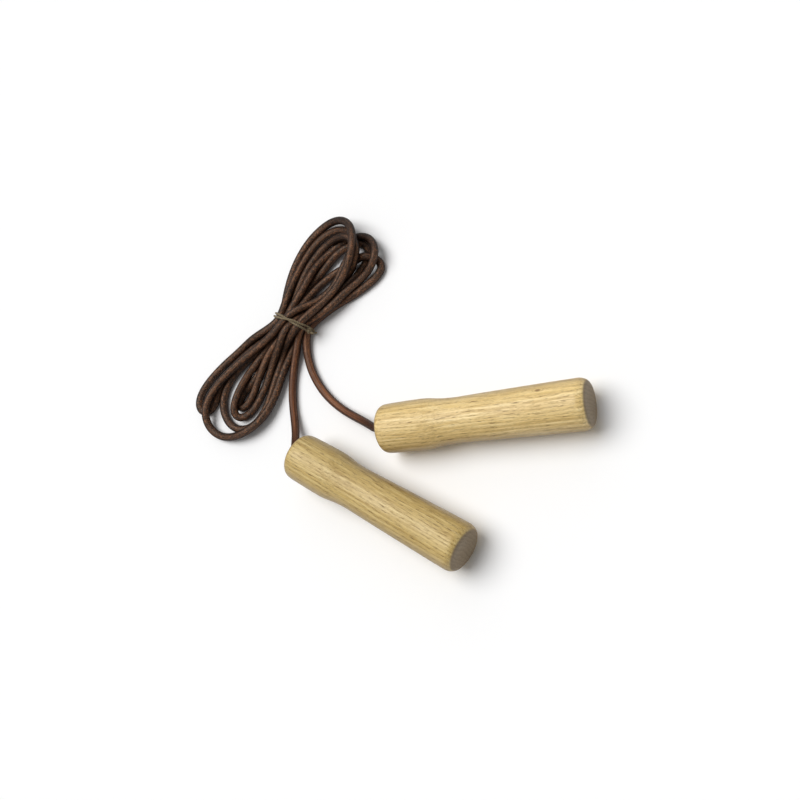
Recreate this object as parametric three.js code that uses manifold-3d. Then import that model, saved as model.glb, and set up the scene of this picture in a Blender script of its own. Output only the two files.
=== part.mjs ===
// Leather jump rope with turned wooden handles, coiled and tied for storage.
//
// Millimetres, +Z up. The coil and both handles lie on the plane z = 0; the origin is the
// middle of the footprint at that plane. Each handle turns on a small ball bearing pressed
// into its head; the cord passes through the bearing's inner ring in a flanged eyelet and is
// held from behind by a washer and a crimped ferrule inside the head.

import * as THREE from 'three';
import { mergeVertices } from 'three/addons/utils/BufferGeometryUtils.js';
import Module from 'manifold-3d';

// ---------------------------------------------------------------- driving dimensions
const HANDLE_LENGTH = 150;
const CORD_R = 3;
const TIE_R = 0.9;

// Hollow in the handle's head; depths are measured from the front face.
const CHAMBER_R = 8.6;            // hollow behind the bearing
const CHAMBER_DEPTH = 30;
const CHAMBER_TIP = 33;           // point of its conical end
const POCKET_R = 11.3;            // bearing seat
const POCKET_START = 1.9;
const POCKET_END = 9.3;
const COVER_SEAT_R = 11.9;        // seat of the front cover

// Ball bearing 8 x 22 x 7, in the middle of its seat.
const RING_OUT_R = 11;
const RING_IN_R = 4;
const BEARING_HALF = 3.5;
const BEARING_MID = (POCKET_START + POCKET_END) / 2;
const PITCH_R = (RING_OUT_R + RING_IN_R) / 2;
const BALLS = 7;
const BALL_R = 1.98;
const GROOVE_R = 2.135;           // raceway section

// Pieces held on the cord stand this far apart, and this far from the bearing.
const STACK_GAP = 0.4;
const STOP_BORE_R = CORD_R + 0.3; // bore of the washer and the ferrule

// Segments round the axis of each revolved piece.
const SEGMENTS = {
  handle: 28, outerRing: 28, innerRing: 20, cage: 14, cover: 28, eyelet: 16, washer: 16, ferrule: 14,
};
const CORD_SIDES = 7;
const TIE_SIDES = 5;

// Outline of the turned handle: [distance from the front face, radius].
const OUTLINE = [
  [0, 13.2], [1.2, 14.9], [3.3, 16.75], [7.0, 17.35], [25, 17.7], [35, 17.6], [41.5, 16.75],
  [48, 15.98], [57, 15.65], [72, 16.05], [106, 16.8], [143.5, 17.5], [146.9, 16.6], [149, 15],
  [HANDLE_LENGTH, 13],
];

// Each handle: middle of the front face (where the cord enters) and the direction to the butt.
const HANDLES = {
  a: { front: [-75.609, 34.716, 17.79], toButt: [0.00309, -0.99999, -0.00193] },
  b: { front: [-30.175, -18.307, 17.79], toButt: [0.52106, -0.85352, -0.00193] },
};

// Centre line of the cord, [x, y, z], from its crimped end inside handle A, round the tied coil,
// to its crimped end inside handle B. The points sit closer together where it bends harder.
const CORD_LINE = [
  [-75.54, 11.72, 17.75], [-75.58, 23.72, 17.77], [-75.59, 31.23, 17.78], [-75.62, 35.18, 17.8], [-74.72, 38.47, 16.65],
  [-72.78, 41.71, 14.41], [-68.56, 46.46, 10.51], [-61.96, 53.23, 6.51], [-55.07, 61.02, 3.96], [-48.5, 67.18, 3.04],
  [-39.42, 73.41, 3.03], [-29.26, 79.31, 3.03], [-21.14, 82.9, 3.64], [-12.8, 84.91, 5.45], [-5.32, 86.76, 6.55],
  [0.01, 89.02, 7.38], [4.33, 90.17, 9.19], [8.38, 89.78, 10.67], [12.31, 87.74, 11.14], [16.39, 84.6, 10.5],
  [21.19, 80.23, 9.18], [27.57, 76.32, 8.67], [36.6, 72.5, 9.11], [44.36, 69.78, 9.09], [51.18, 68.1, 7.4],
  [57.19, 66.04, 5.28], [62.71, 63.3, 4.9], [68.3, 60.41, 6.48], [73.4, 58.62, 8.72], [77.68, 58.36, 10.25],
  [81.58, 59.59, 10.65], [84.89, 62.26, 9.78], [88.08, 66.64, 8.16], [90.94, 72.69, 6.54], [91.98, 78.4, 5.15],
  [90.99, 83.66, 3.73], [88.15, 88.39, 3.02], [83.35, 93.09, 3.03], [75.41, 98.39, 3.03], [67.75, 102.37, 3.02],
  [61.63, 104.29, 3.78], [55.77, 104.8, 6.07], [49.8, 103.91, 8.51], [43.53, 102.89, 9.25], [36.52, 103.16, 8.9],
  [29.26, 105.07, 9.12], [23.09, 106.48, 9.33], [17.26, 105.98, 10.08], [11.51, 104.47, 10.95], [6.16, 103.74, 10.72],
  [1.08, 104.92, 9.8], [-5.19, 107.58, 8.21], [-14.67, 110.2, 6.84], [-24, 112.57, 6], [-31.04, 114.83, 4.56],
  [-37.12, 115.87, 4.38], [-43.11, 115.78, 6], [-49.26, 114.53, 8.35], [-55.7, 113.3, 9.3], [-63, 113.17, 9.4],
  [-68.64, 113.03, 9.35], [-72.71, 112.01, 8.54], [-75.46, 109.88, 7], [-76.43, 106.83, 5.25], [-75.34, 103.64, 3.86],
  [-72.49, 101.09, 3.15], [-68.16, 99.31, 3.02], [-61.28, 98.17, 3.03], [-49.98, 97.75, 3.03], [-39.94, 98.89, 3.02],
  [-32.79, 100.19, 3.42], [-26.39, 100.5, 5.52], [-19.1, 99.13, 8.76], [-10.64, 97.44, 12.76], [-4.02, 97.22, 15.61],
  [1.82, 96.49, 16.73], [7.41, 94.99, 16.5], [12.02, 93.57, 14.93], [15.73, 92.98, 11.91], [19.5, 93.62, 8.69],
  [23.68, 94.06, 5.81], [28.06, 92.75, 3.59], [33.06, 90.34, 3.01], [40.49, 87.06, 3.03], [50.25, 83.38, 3.02],
  [57.08, 79.86, 3.66], [62.18, 76.33, 5.74], [66.15, 73.43, 9.23], [69.72, 72.01, 12.71], [73.86, 71.39, 14.69],
  [78.27, 71.89, 15.17], [82.01, 74.04, 15.1], [84.31, 77.69, 15.1], [85.01, 82.15, 15.3], [84.52, 86.91, 14.3],
  [83.04, 92.48, 11.64], [79.85, 99.59, 8.31], [75.51, 105.23, 5.57], [70.17, 109.51, 3.74], [63.96, 112.25, 3.06],
  [56.62, 113.29, 3.05], [45.83, 113.04, 3.31], [33.84, 112.78, 3.04], [25.9, 112.49, 3.05], [20.26, 110.89, 3.65],
  [15.24, 108.18, 4.57], [10.21, 106.79, 5.33], [5.44, 106.9, 5.16], [0.86, 108.29, 3.83], [-4.36, 111.18, 3.04],
  [-11.24, 114.26, 3.03], [-19.66, 116.94, 3.35], [-28.16, 120.73, 4.32], [-37.93, 125.93, 4.15], [-47.37, 129.88, 3.29],
  [-54.99, 131.45, 3.03], [-62.05, 130.95, 3.03], [-68.91, 128.4, 3.03], [-75.15, 124.49, 3.03], [-79.9, 119.1, 3.03],
  [-82.89, 112.72, 3.03], [-83.89, 106.47, 3.03], [-82.87, 100.67, 3.03], [-79.96, 95.52, 3.03], [-75.38, 91.58, 3.03],
  [-69.32, 89.08, 3.03], [-61.89, 88.22, 3.03], [-52.83, 89.28, 3.03], [-41.32, 92.16, 3.03], [-29.53, 94.34, 3.06],
  [-21.04, 95.69, 3.01], [-15.41, 96.95, 3.8], [-10.52, 96.84, 5.89], [-6.12, 94.83, 8.6], [-1.89, 92.18, 12.36],
  [3, 89.93, 15.42], [8.94, 88.15, 17.04], [14.86, 86.49, 17.18], [20.66, 83.88, 15.55], [27.77, 81.49, 12.79],
  [34.83, 79.49, 11.1], [42.12, 77.06, 11.39], [52.2, 74.66, 13.46], [62.33, 72.72, 16.79], [68.99, 71.9, 19.68],
  [74.81, 72.45, 21.06], [80.76, 74.56, 21.37], [85.76, 77.71, 21.15], [89.51, 81.59, 19.68], [92.7, 87.04, 17.08],
  [94.77, 94.06, 14.27], [94.75, 101.36, 11.44], [92.69, 108.38, 8.33], [88.99, 114.26, 5.43], [84.16, 118.73, 3.56],
  [78.09, 122.09, 3.02], [70, 124.54, 3.03], [59.29, 125.59, 3.03], [47.3, 125.29, 3.03], [35.46, 123.77, 3.03],
  [25.87, 121.18, 3.05], [19.13, 117.95, 3.64], [14.24, 114.66, 4.49], [9.91, 113.03, 5.27], [5.44, 113.25, 5.2],
  [1.05, 115.15, 4.07], [-4.3, 118.21, 3.11], [-11.72, 120.88, 3.03], [-22.08, 124.6, 3.03], [-32.75, 130.09, 3.03],
  [-43, 134.95, 3.03], [-52.29, 137.39, 3.03], [-59.8, 137.83, 3.03], [-66.36, 136.33, 3.03], [-71.9, 133.8, 3.03],
  [-76.4, 132.41, 3.03], [-80.61, 133, 3.03], [-84.02, 135.48, 3.03], [-86.04, 139.17, 3.03], [-86.13, 143.31, 3.03],
  [-84.16, 146.94, 3.03], [-80.56, 149.33, 3.03], [-75.68, 150.32, 3.03], [-68.76, 149.93, 3.03], [-57.83, 147.62, 3.03],
  [-46.56, 143.53, 3.03], [-35.64, 138.55, 3.03], [-27.35, 134.21, 3.11], [-21.37, 130.85, 4.67], [-15.93, 126.72, 7.54],
  [-10.84, 121.75, 9.14], [-4.41, 116.15, 9.61], [0.93, 112.25, 10.38], [5.87, 110.5, 11.03], [10.96, 110.72, 11.01],
  [16.7, 112.52, 9.85], [25.18, 115.98, 8.19], [34.46, 118.11, 6.24], [46.06, 119.14, 4.49], [58.02, 119.44, 3.6],
  [68.16, 118.53, 3.06], [75.12, 116.56, 3.15], [80.73, 112.97, 3.76], [85.22, 107.65, 4.76], [88.4, 100.85, 6.12],
  [89.69, 94.37, 7.75], [89.32, 89.12, 9.07], [87.41, 84.53, 9.26], [83.88, 81.03, 9.1], [79.03, 78.94, 9.37],
  [73.42, 78.5, 10.51], [67.65, 79.03, 11.64], [62.25, 78.82, 11.72], [56.81, 78.37, 10.06], [50.81, 79.38, 8.32],
  [43.95, 81.88, 7.95], [35.16, 85.44, 8.54], [28.84, 87.62, 9.81], [24.32, 89.8, 12.23], [21.37, 92.83, 15.07],
  [18.53, 96.24, 16.66], [14.51, 99.16, 16.78], [8.83, 101.28, 16.66], [2, 102.71, 16.18], [-4.2, 104.87, 14.76],
  [-11.42, 109.29, 13.44], [-19.72, 115.08, 11.61], [-27.56, 120.03, 10.56], [-37.43, 125.62, 10.41], [-48, 131.16, 9.35],
  [-57.46, 134.74, 8.83], [-66.85, 136.62, 9.25], [-75.34, 136.74, 9.4], [-81.71, 135.43, 9.51], [-86.6, 133.5, 8.45],
  [-90.52, 130.88, 6.07], [-93.34, 127.11, 3.98], [-94.8, 122.25, 3.08], [-94.81, 116.4, 3.03], [-93.09, 109.61, 3.67],
  [-89.71, 102.48, 5.61], [-85.52, 96.4, 7.65], [-80.07, 91.28, 8.47], [-73.04, 86.77, 8.29], [-65.33, 84.08, 7.54],
  [-56.91, 83.39, 6.5], [-47.19, 84.73, 5.47], [-35.58, 87.5, 5.22], [-24.67, 89.24, 5.57], [-16.12, 90.6, 4.52],
  [-9.28, 91.22, 3.19], [-3.59, 92.72, 3.05], [1.43, 94.31, 3.79], [6.27, 94.45, 5.16], [11.15, 93.43, 5.28],
  [15.75, 91.7, 3.95], [20.89, 89.24, 3.02], [29.32, 85.29, 3.03], [39.91, 79.66, 3.03], [50.94, 74.92, 3.03],
  [61.39, 70.71, 3.03], [69.21, 68.57, 3.04], [74.62, 68, 3.03], [79.21, 68.91, 3.03], [83, 70.44, 3.03],
  [85.51, 73.22, 3.03], [86.22, 76.97, 3.03], [85.3, 81.07, 3], [82.82, 85.08, 3.62], [78.61, 89.25, 4.93],
  [72.31, 93.59, 5.48], [64.84, 97.01, 4.61], [56.35, 98.98, 3.39], [47.95, 101.44, 3.02], [38.65, 104.82, 3.03],
  [31.15, 106.16, 3.03], [24.83, 105.58, 3.04], [19.2, 103.25, 3.55], [13.67, 101.09, 4.73], [7.97, 100.51, 5.36],
  [2.32, 101.21, 4.5], [-3.99, 103.36, 3.47], [-12.06, 104.88, 3.02], [-23.5, 106.89, 3.03], [-34.98, 109.42, 3.04],
  [-45.04, 110.48, 3.03], [-52.64, 112.24, 3.03], [-58.53, 114.69, 3.03], [-62.71, 115.82, 3.03], [-66.21, 115.43, 3.05],
  [-68.73, 113.47, 3.04], [-69.74, 110.51, 3.03], [-68.77, 107.53, 3.03], [-66.18, 105.4, 3.04], [-62.37, 104.52, 3.21],
  [-56.83, 104.63, 3.77], [-46.26, 104.91, 5.56], [-34.47, 105.22, 7.74], [-25.18, 105.83, 9.09], [-17.66, 105.15, 9.38],
  [-8.88, 102.61, 9.79], [-1.37, 99.24, 10.02], [4.39, 97.53, 10.45], [10.15, 97.82, 10.76], [16.08, 99.29, 10.3],
  [21.66, 100.34, 8.47], [27.46, 100.29, 5.58], [34.25, 99.51, 3.63], [41.72, 97.18, 3.03], [51.43, 92.36, 3.03],
  [60.62, 86.04, 3.15], [67.13, 79.88, 4.09], [71.34, 74.84, 6.01], [74.02, 71.34, 8.19], [75.96, 68.28, 9.28],
  [77.71, 65.38, 8.41], [79.16, 63.05, 6.1], [80.1, 60.15, 4.06], [79.69, 56.61, 3.13], [77.5, 53.66, 3],
  [74.01, 52.31, 3.03], [69.96, 52.84, 3.03], [65.12, 55.13, 3.03], [55.96, 60.14, 3.03], [47.27, 65.48, 3.03],
  [39.13, 72.24, 3.03], [29.81, 78.07, 3.03], [20.48, 82.6, 3.38], [14.85, 85.34, 4.54], [10.29, 86.43, 5.34],
  [5.79, 85.75, 4.98], [1.06, 83.82, 3.64], [-4.87, 80.4, 3.04], [-11.22, 74.69, 3.03], [-18.23, 65.77, 3.03],
  [-24.31, 55.44, 3.03], [-28.74, 44.3, 3.03], [-31.3, 33.41, 3.02], [-32.05, 23.96, 3.85], [-32, 12.63, 6.43],
  [-31.81, 1.1, 9.72], [-32.06, -8.56, 13.86], [-31.72, -13.63, 16.4], [-30.7, -17.34, 17.72], [-28.54, -20.98, 17.78],
  [-24.44, -27.7, 17.77], [-18.19, -37.94, 17.75],
];

// Centre line of the tie, [x, y, z]: two turns round the middle of the coil, crossing on top.
const TIE_LINE = [
  [8.14, 75.76, 12.03], [8.15, 77.09, 11.83], [8.14, 78.63, 11.24], [8.13, 79.96, 11.03], [8.11, 81.18, 11.51],
  [8.09, 82.23, 12.6], [8.07, 82.75, 14.05], [8.07, 82.83, 16.04], [8.07, 83.17, 18.34], [8.11, 83.9, 19.91],
  [8.15, 85.12, 20.97], [8.23, 86.71, 21.44], [8.38, 89.22, 21.42], [8.79, 94.12, 21.19], [9.23, 99.12, 20.97],
  [9.45, 102.3, 20.81], [9.54, 104.02, 20.32], [9.62, 106.33, 18.88], [9.5, 110.53, 16.14], [9.37, 113.25, 14.32],
  [9.31, 114.49, 12.99], [9.27, 115.42, 10.95], [9.2, 117.02, 7.54], [9.17, 117.64, 5.66], [9.17, 117.54, 4.06],
  [9.21, 116.77, 2.56], [9.27, 115.5, 1.5], [9.34, 113.81, 1.02], [9.47, 110.98, 0.96], [9.7, 105.98, 0.94],
  [9.94, 100.96, 0.91], [10.17, 95.95, 0.89], [10.4, 90.93, 0.89], [10.59, 86.66, 0.9], [10.68, 84.77, 1.12],
  [10.75, 83.35, 1.92], [10.79, 82.31, 3.28], [10.81, 81.91, 4.93], [10.8, 82.11, 7.24], [10.78, 82.59, 12.09],
  [10.76, 83.01, 16.52], [10.72, 83.4, 18.79], [10.59, 84.28, 20.41], [10.41, 85.7, 21.59], [10.11, 87.76, 22.33],
  [9.45, 91.72, 23.38], [8.95, 94.44, 23.76], [8.47, 97.04, 23.42], [7.87, 100.51, 22.22], [7.47, 103.05, 21.29],
  [7.19, 105.05, 19.9], [6.87, 108.93, 17.13], [6.7, 112.47, 14.8], [6.63, 114.01, 13.49], [6.59, 114.92, 11.84],
  [6.52, 116.44, 8.54], [6.48, 117.38, 6.25], [6.47, 117.53, 4.62], [6.49, 116.99, 3.06], [6.55, 115.87, 1.81],
  [6.62, 114.34, 1.13], [6.72, 112.14, 0.95], [6.93, 107.62, 0.94], [7.16, 102.6, 0.92], [7.39, 97.58, 0.89],
  [7.62, 92.56, 0.88], [7.85, 87.63, 0.9], [7.96, 85.3, 0.97], [8.02, 83.83, 1.5], [8.08, 82.66, 2.51],
  [8.12, 82, 3.46], [8.11, 81.83, 4.72], [8.05, 82.02, 6.25], [8.14, 81.85, 6.64], [8.46, 81, 5.86],
  [8.85, 79.98, 5.55], [9.43, 78.57, 5.57], [10.08, 77.26, 5.43],
];

// ---------------------------------------------------------------- materials
const WOOD = { color: 0xc0a46b, roughness: 0.42, metalness: 0 };
const LEATHER = { color: 0x4f3a2f, roughness: 0.6, metalness: 0 };
const TWINE = { color: 0x8c7d5f, roughness: 0.9, metalness: 0 };
const STEEL = { color: 0xb9bcc0, roughness: 0.25, metalness: 1 };
const ZINC = { color: 0xa6a9ab, roughness: 0.45, metalness: 1 };
const BRASS = { color: 0xb08d4a, roughness: 0.35, metalness: 1 };

// ---------------------------------------------------------------- helpers
const piece = (name, geometry, finish) => {
  const mesh = new THREE.Mesh(geometry, new THREE.MeshStandardMaterial(finish));
  mesh.name = name;
  return mesh;
};

// A piece revolved about Y; the profile is [distance along the axis, radius].
const turned = (profile, segments) =>
  new THREE.LatheGeometry(profile.map(([y, r]) => new THREE.Vector2(r, y)), segments);

// A revolved ring: the profile closes on itself, and is reversed if needed so that its outer
// side runs towards +Y and the faces point outwards.
const ring = (profile, segments) => {
  const doubleArea = profile.reduce((sum, [y, r], i) => {
    const [nextY, nextR] = profile[(i + 1) % profile.length];
    return sum + r * nextY - nextR * y;
  }, 0);
  const loop = doubleArea > 0 ? profile : profile.slice().reverse();
  return turned([...loop, loop[0]], segments);
};

// A curve that gives a sweep one section at each station, square to the bisector of the bend.
class StationCurve extends THREE.Curve {
  constructor(points) {
    super();
    this.stations = points.map((point) => new THREE.Vector3(...point));
  }
  getPointAt(u) {
    return this.stations[Math.round(u * (this.stations.length - 1))].clone();
  }
  getTangentAt(u) {
    const last = this.stations.length - 1;
    const i = Math.round(u * last);
    const here = this.stations[i];
    const before = here.clone().sub(this.stations[Math.max(i - 1, 0)]).normalize();
    const after = this.stations[Math.min(i + 1, last)].clone().sub(here).normalize();
    return before.add(after).normalize();
  }
}

const sweep = (points, radius, sides) => {
  const corners = Array.from({ length: sides }, (_, i) => {
    const angle = (2 * Math.PI * i) / sides;
    return new THREE.Vector2(radius * Math.cos(angle), radius * Math.sin(angle));
  });
  return new THREE.ExtrudeGeometry(new THREE.Shape(corners), {
    steps: points.length - 1,
    bevelEnabled: false,
    curveSegments: 1,
    extrudePath: new StationCurve(points),
  });
};

// Booleans.
const WELD_DISTANCE = 1e-4;
const wasm = await Module();
wasm.setup();

const toSolid = (geometry) => {
  // Normals and uvs would keep the seams from welding.
  geometry.deleteAttribute('normal');
  geometry.deleteAttribute('uv');
  const welded = mergeVertices(geometry, WELD_DISTANCE);
  return new wasm.Manifold(new wasm.Mesh({
    numProp: 3,
    vertProperties: new Float32Array(welded.getAttribute('position').array),
    triVerts: new Uint32Array(welded.getIndex().array),
  }));
};

const toGeometry = (solid) => {
  const mesh = solid.getMesh();
  const geometry = new THREE.BufferGeometry();
  geometry.setAttribute('position', new THREE.Float32BufferAttribute(mesh.vertProperties, 3));
  geometry.setIndex(new THREE.Uint32BufferAttribute(mesh.triVerts, 1));
  geometry.computeVertexNormals();
  return geometry;
};

// ---------------------------------------------------------------- bearing, centred on y = 0
// Raceway: a circle of GROOVE_R round the ball's centre, cut off at the shoulders.
const SHOULDER_Y = 1.45;
const RACE_Y = [-SHOULDER_Y, -0.55, 0.55, SHOULDER_Y];

// side: 1 for the outer ring, -1 for the inner ring.
const bearingRing = (side, backR, segments) => {
  const grooveR = (y) => PITCH_R + side * Math.sqrt(GROOVE_R ** 2 - y ** 2);
  return ring([
    [-BEARING_HALF, grooveR(SHOULDER_Y)],
    ...RACE_Y.map((y) => [y, grooveR(y)]),
    [BEARING_HALF, grooveR(SHOULDER_Y)],
    [BEARING_HALF, backR],
    [-BEARING_HALF, backR],
  ], segments);
};

// Moves a geometry from the axis to the place of ball i.
const toBallPlace = (geometry, i) =>
  geometry.translate(PITCH_R, 0, 0).rotateY((2 * Math.PI * i) / BALLS);

const ball = (i) => toBallPlace(new THREE.SphereGeometry(BALL_R, 8, 6), i);

// Plain band with a six-sided radial hole round each ball.
const cage = () => {
  const innerR = 7.1;
  const outerR = 7.95;
  const half = 2.9;
  const holeR = 2.35;
  const drillLength = 4;
  let solid = toSolid(ring([
    [-half, innerR], [-half, outerR], [half, outerR], [half, innerR],
  ], SEGMENTS.cage));
  for (let i = 0; i < BALLS; i++) {
    const drill = new THREE.CylinderGeometry(holeR, holeR, drillLength, 6).rotateZ(Math.PI / 2);
    solid = solid.subtract(toSolid(toBallPlace(drill, i)));
  }
  return toGeometry(solid);
};

const buildBearing = (tag) => {
  const bearing = new THREE.Group();
  const add = (name, geometry, finish) =>
    bearing.add(piece(`bearing_${tag}_${name}`, geometry, finish));
  add('outer_ring', bearingRing(1, RING_OUT_R, SEGMENTS.outerRing), STEEL);
  add('inner_ring', bearingRing(-1, RING_IN_R, SEGMENTS.innerRing), STEEL);
  add('cage', cage(), BRASS);
  for (let i = 0; i < BALLS; i++) add(`ball_${i + 1}`, ball(i), STEEL);
  return bearing;
};

// ---------------------------------------------------------------- handle pieces
// Distances run from the handle's front face towards the butt.
const EYELET_BACK = 10.2;
const WASHER_FRONT = EYELET_BACK + STACK_GAP;
const WASHER_BACK = WASHER_FRONT + 1.2;

const handleWood = () => turned([
  [CHAMBER_TIP, 0], [CHAMBER_DEPTH, CHAMBER_R], [POCKET_END, CHAMBER_R], [POCKET_END, POCKET_R],
  [POCKET_START, POCKET_R], [POCKET_START, COVER_SEAT_R], [0, COVER_SEAT_R],
  ...OUTLINE, [HANDLE_LENGTH, 0],
], SEGMENTS.handle);

// Dished cover that keeps the bearing in its seat and the dust out.
const frontCover = () => {
  const innerR = 7;
  const bendR = innerR + 1.6;
  const outerR = 11.6;
  return ring([
    [0.75, innerR], [0.45, bendR], [0.45, outerR], [1.5, outerR], [1.25, bendR], [1.55, innerR],
  ], SEGMENTS.cover);
};

// Eyelet in the bore of the inner ring, with a flange at each end.
const eyelet = () => {
  const boreR = CORD_R + 0.25;
  const barrelR = 3.7;
  const frontFlangeR = 5;
  const backFlangeR = 5.4;
  const barrelFront = BEARING_MID - BEARING_HALF - STACK_GAP;
  const barrelBack = BEARING_MID + BEARING_HALF + STACK_GAP;
  const front = barrelFront - 0.8;
  return ring([
    [front, boreR], [front, frontFlangeR], [barrelFront, frontFlangeR], [barrelFront, barrelR],
    [barrelBack, barrelR], [barrelBack, backFlangeR], [EYELET_BACK, backFlangeR],
    [EYELET_BACK, boreR],
  ], SEGMENTS.eyelet);
};

const stopWasher = () => {
  const outerR = 7.5;
  return ring([
    [WASHER_FRONT, STOP_BORE_R], [WASHER_FRONT, outerR],
    [WASHER_BACK, outerR], [WASHER_BACK, STOP_BORE_R],
  ], SEGMENTS.washer);
};

// Crimped ferrule: barrel with a pressed groove round its middle.
const cordFerrule = () => {
  const outerR = 4.6;
  const crimpR = 4.05;
  const crimpHalf = 1.2;
  const front = WASHER_BACK + STACK_GAP;
  const back = front + 10;
  const middle = (front + back) / 2;
  return ring([
    [front, STOP_BORE_R], [front, outerR], [middle - crimpHalf, outerR], [middle, crimpR],
    [middle + crimpHalf, outerR], [back, outerR], [back, STOP_BORE_R],
  ], SEGMENTS.ferrule);
};

// Local frame: Y runs from the front face (0) to the butt, Z points down.
const buildHandle = (tag, { front, toButt }) => {
  const y = new THREE.Vector3(...toButt).normalize();
  const z = new THREE.Vector3(0, 0, -1).addScaledVector(y, y.z).normalize();
  const x = new THREE.Vector3().crossVectors(y, z);
  const handle = new THREE.Group();
  handle.position.set(...front);
  handle.quaternion.setFromRotationMatrix(new THREE.Matrix4().makeBasis(x, y, z));

  const bearing = buildBearing(tag);
  bearing.position.y = BEARING_MID;
  handle.add(
    piece(`handle_${tag}`, handleWood(), WOOD),
    bearing,
    piece(`front_cover_${tag}`, frontCover(), ZINC),
    piece(`eyelet_${tag}`, eyelet(), BRASS),
    piece(`stop_washer_${tag}`, stopWasher(), ZINC),
    piece(`cord_ferrule_${tag}`, cordFerrule(), ZINC),
  );
  return handle;
};

// ---------------------------------------------------------------- assembly
const jumpRope = new THREE.Group();
jumpRope.add(piece('rope_cord', sweep(CORD_LINE, CORD_R, CORD_SIDES), LEATHER));
jumpRope.add(piece('tie_cord', sweep(TIE_LINE, TIE_R, TIE_SIDES), TWINE));
for (const [tag, placement] of Object.entries(HANDLES)) jumpRope.add(buildHandle(tag, placement));

export default jumpRope;
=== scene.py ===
# Jump rope: leather cord in a tied coil, with two turned wooden handles on ball bearings.
# It lies on the floor z = 0. The coil fills the +y side; the handles lie on the -y side and
# point away from it. Lengths are in mm until a mesh is made.
import math

import bmesh
import bpy
import numpy as np
from mathutils import Matrix, Vector


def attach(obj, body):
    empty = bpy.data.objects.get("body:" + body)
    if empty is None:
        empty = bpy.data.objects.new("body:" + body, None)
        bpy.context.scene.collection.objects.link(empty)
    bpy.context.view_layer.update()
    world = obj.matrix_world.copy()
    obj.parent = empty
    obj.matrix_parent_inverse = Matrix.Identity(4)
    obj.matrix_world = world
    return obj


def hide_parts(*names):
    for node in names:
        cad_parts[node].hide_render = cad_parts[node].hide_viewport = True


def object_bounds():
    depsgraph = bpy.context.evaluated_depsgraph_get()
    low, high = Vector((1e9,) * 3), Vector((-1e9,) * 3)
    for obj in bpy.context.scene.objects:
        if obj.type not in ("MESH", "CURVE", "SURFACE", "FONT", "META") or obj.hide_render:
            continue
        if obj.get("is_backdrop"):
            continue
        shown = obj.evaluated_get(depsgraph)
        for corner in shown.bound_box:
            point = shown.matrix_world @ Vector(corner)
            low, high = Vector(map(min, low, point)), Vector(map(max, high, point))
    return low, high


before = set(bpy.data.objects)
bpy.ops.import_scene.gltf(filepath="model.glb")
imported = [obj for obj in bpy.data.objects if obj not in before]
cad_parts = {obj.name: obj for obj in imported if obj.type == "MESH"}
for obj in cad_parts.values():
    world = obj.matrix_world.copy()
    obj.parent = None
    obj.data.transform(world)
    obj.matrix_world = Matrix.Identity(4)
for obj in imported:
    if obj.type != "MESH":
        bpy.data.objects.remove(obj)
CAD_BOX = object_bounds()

MM = 0.001


def points(text):
    """Table of x,y,z triples, in the order of the curve."""
    return np.array([triple.split(",") for triple in text.split()], float)


# ---------------------------------------------------------------- cord and tie dimensions
CORD_RADIUS = 3.04
CORD_STEP = 1.45
CORD_SIDES = 22
DYED_TAILS = (150.0, 190.0)  # length of the redder part at the start and the end of the cord

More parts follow.
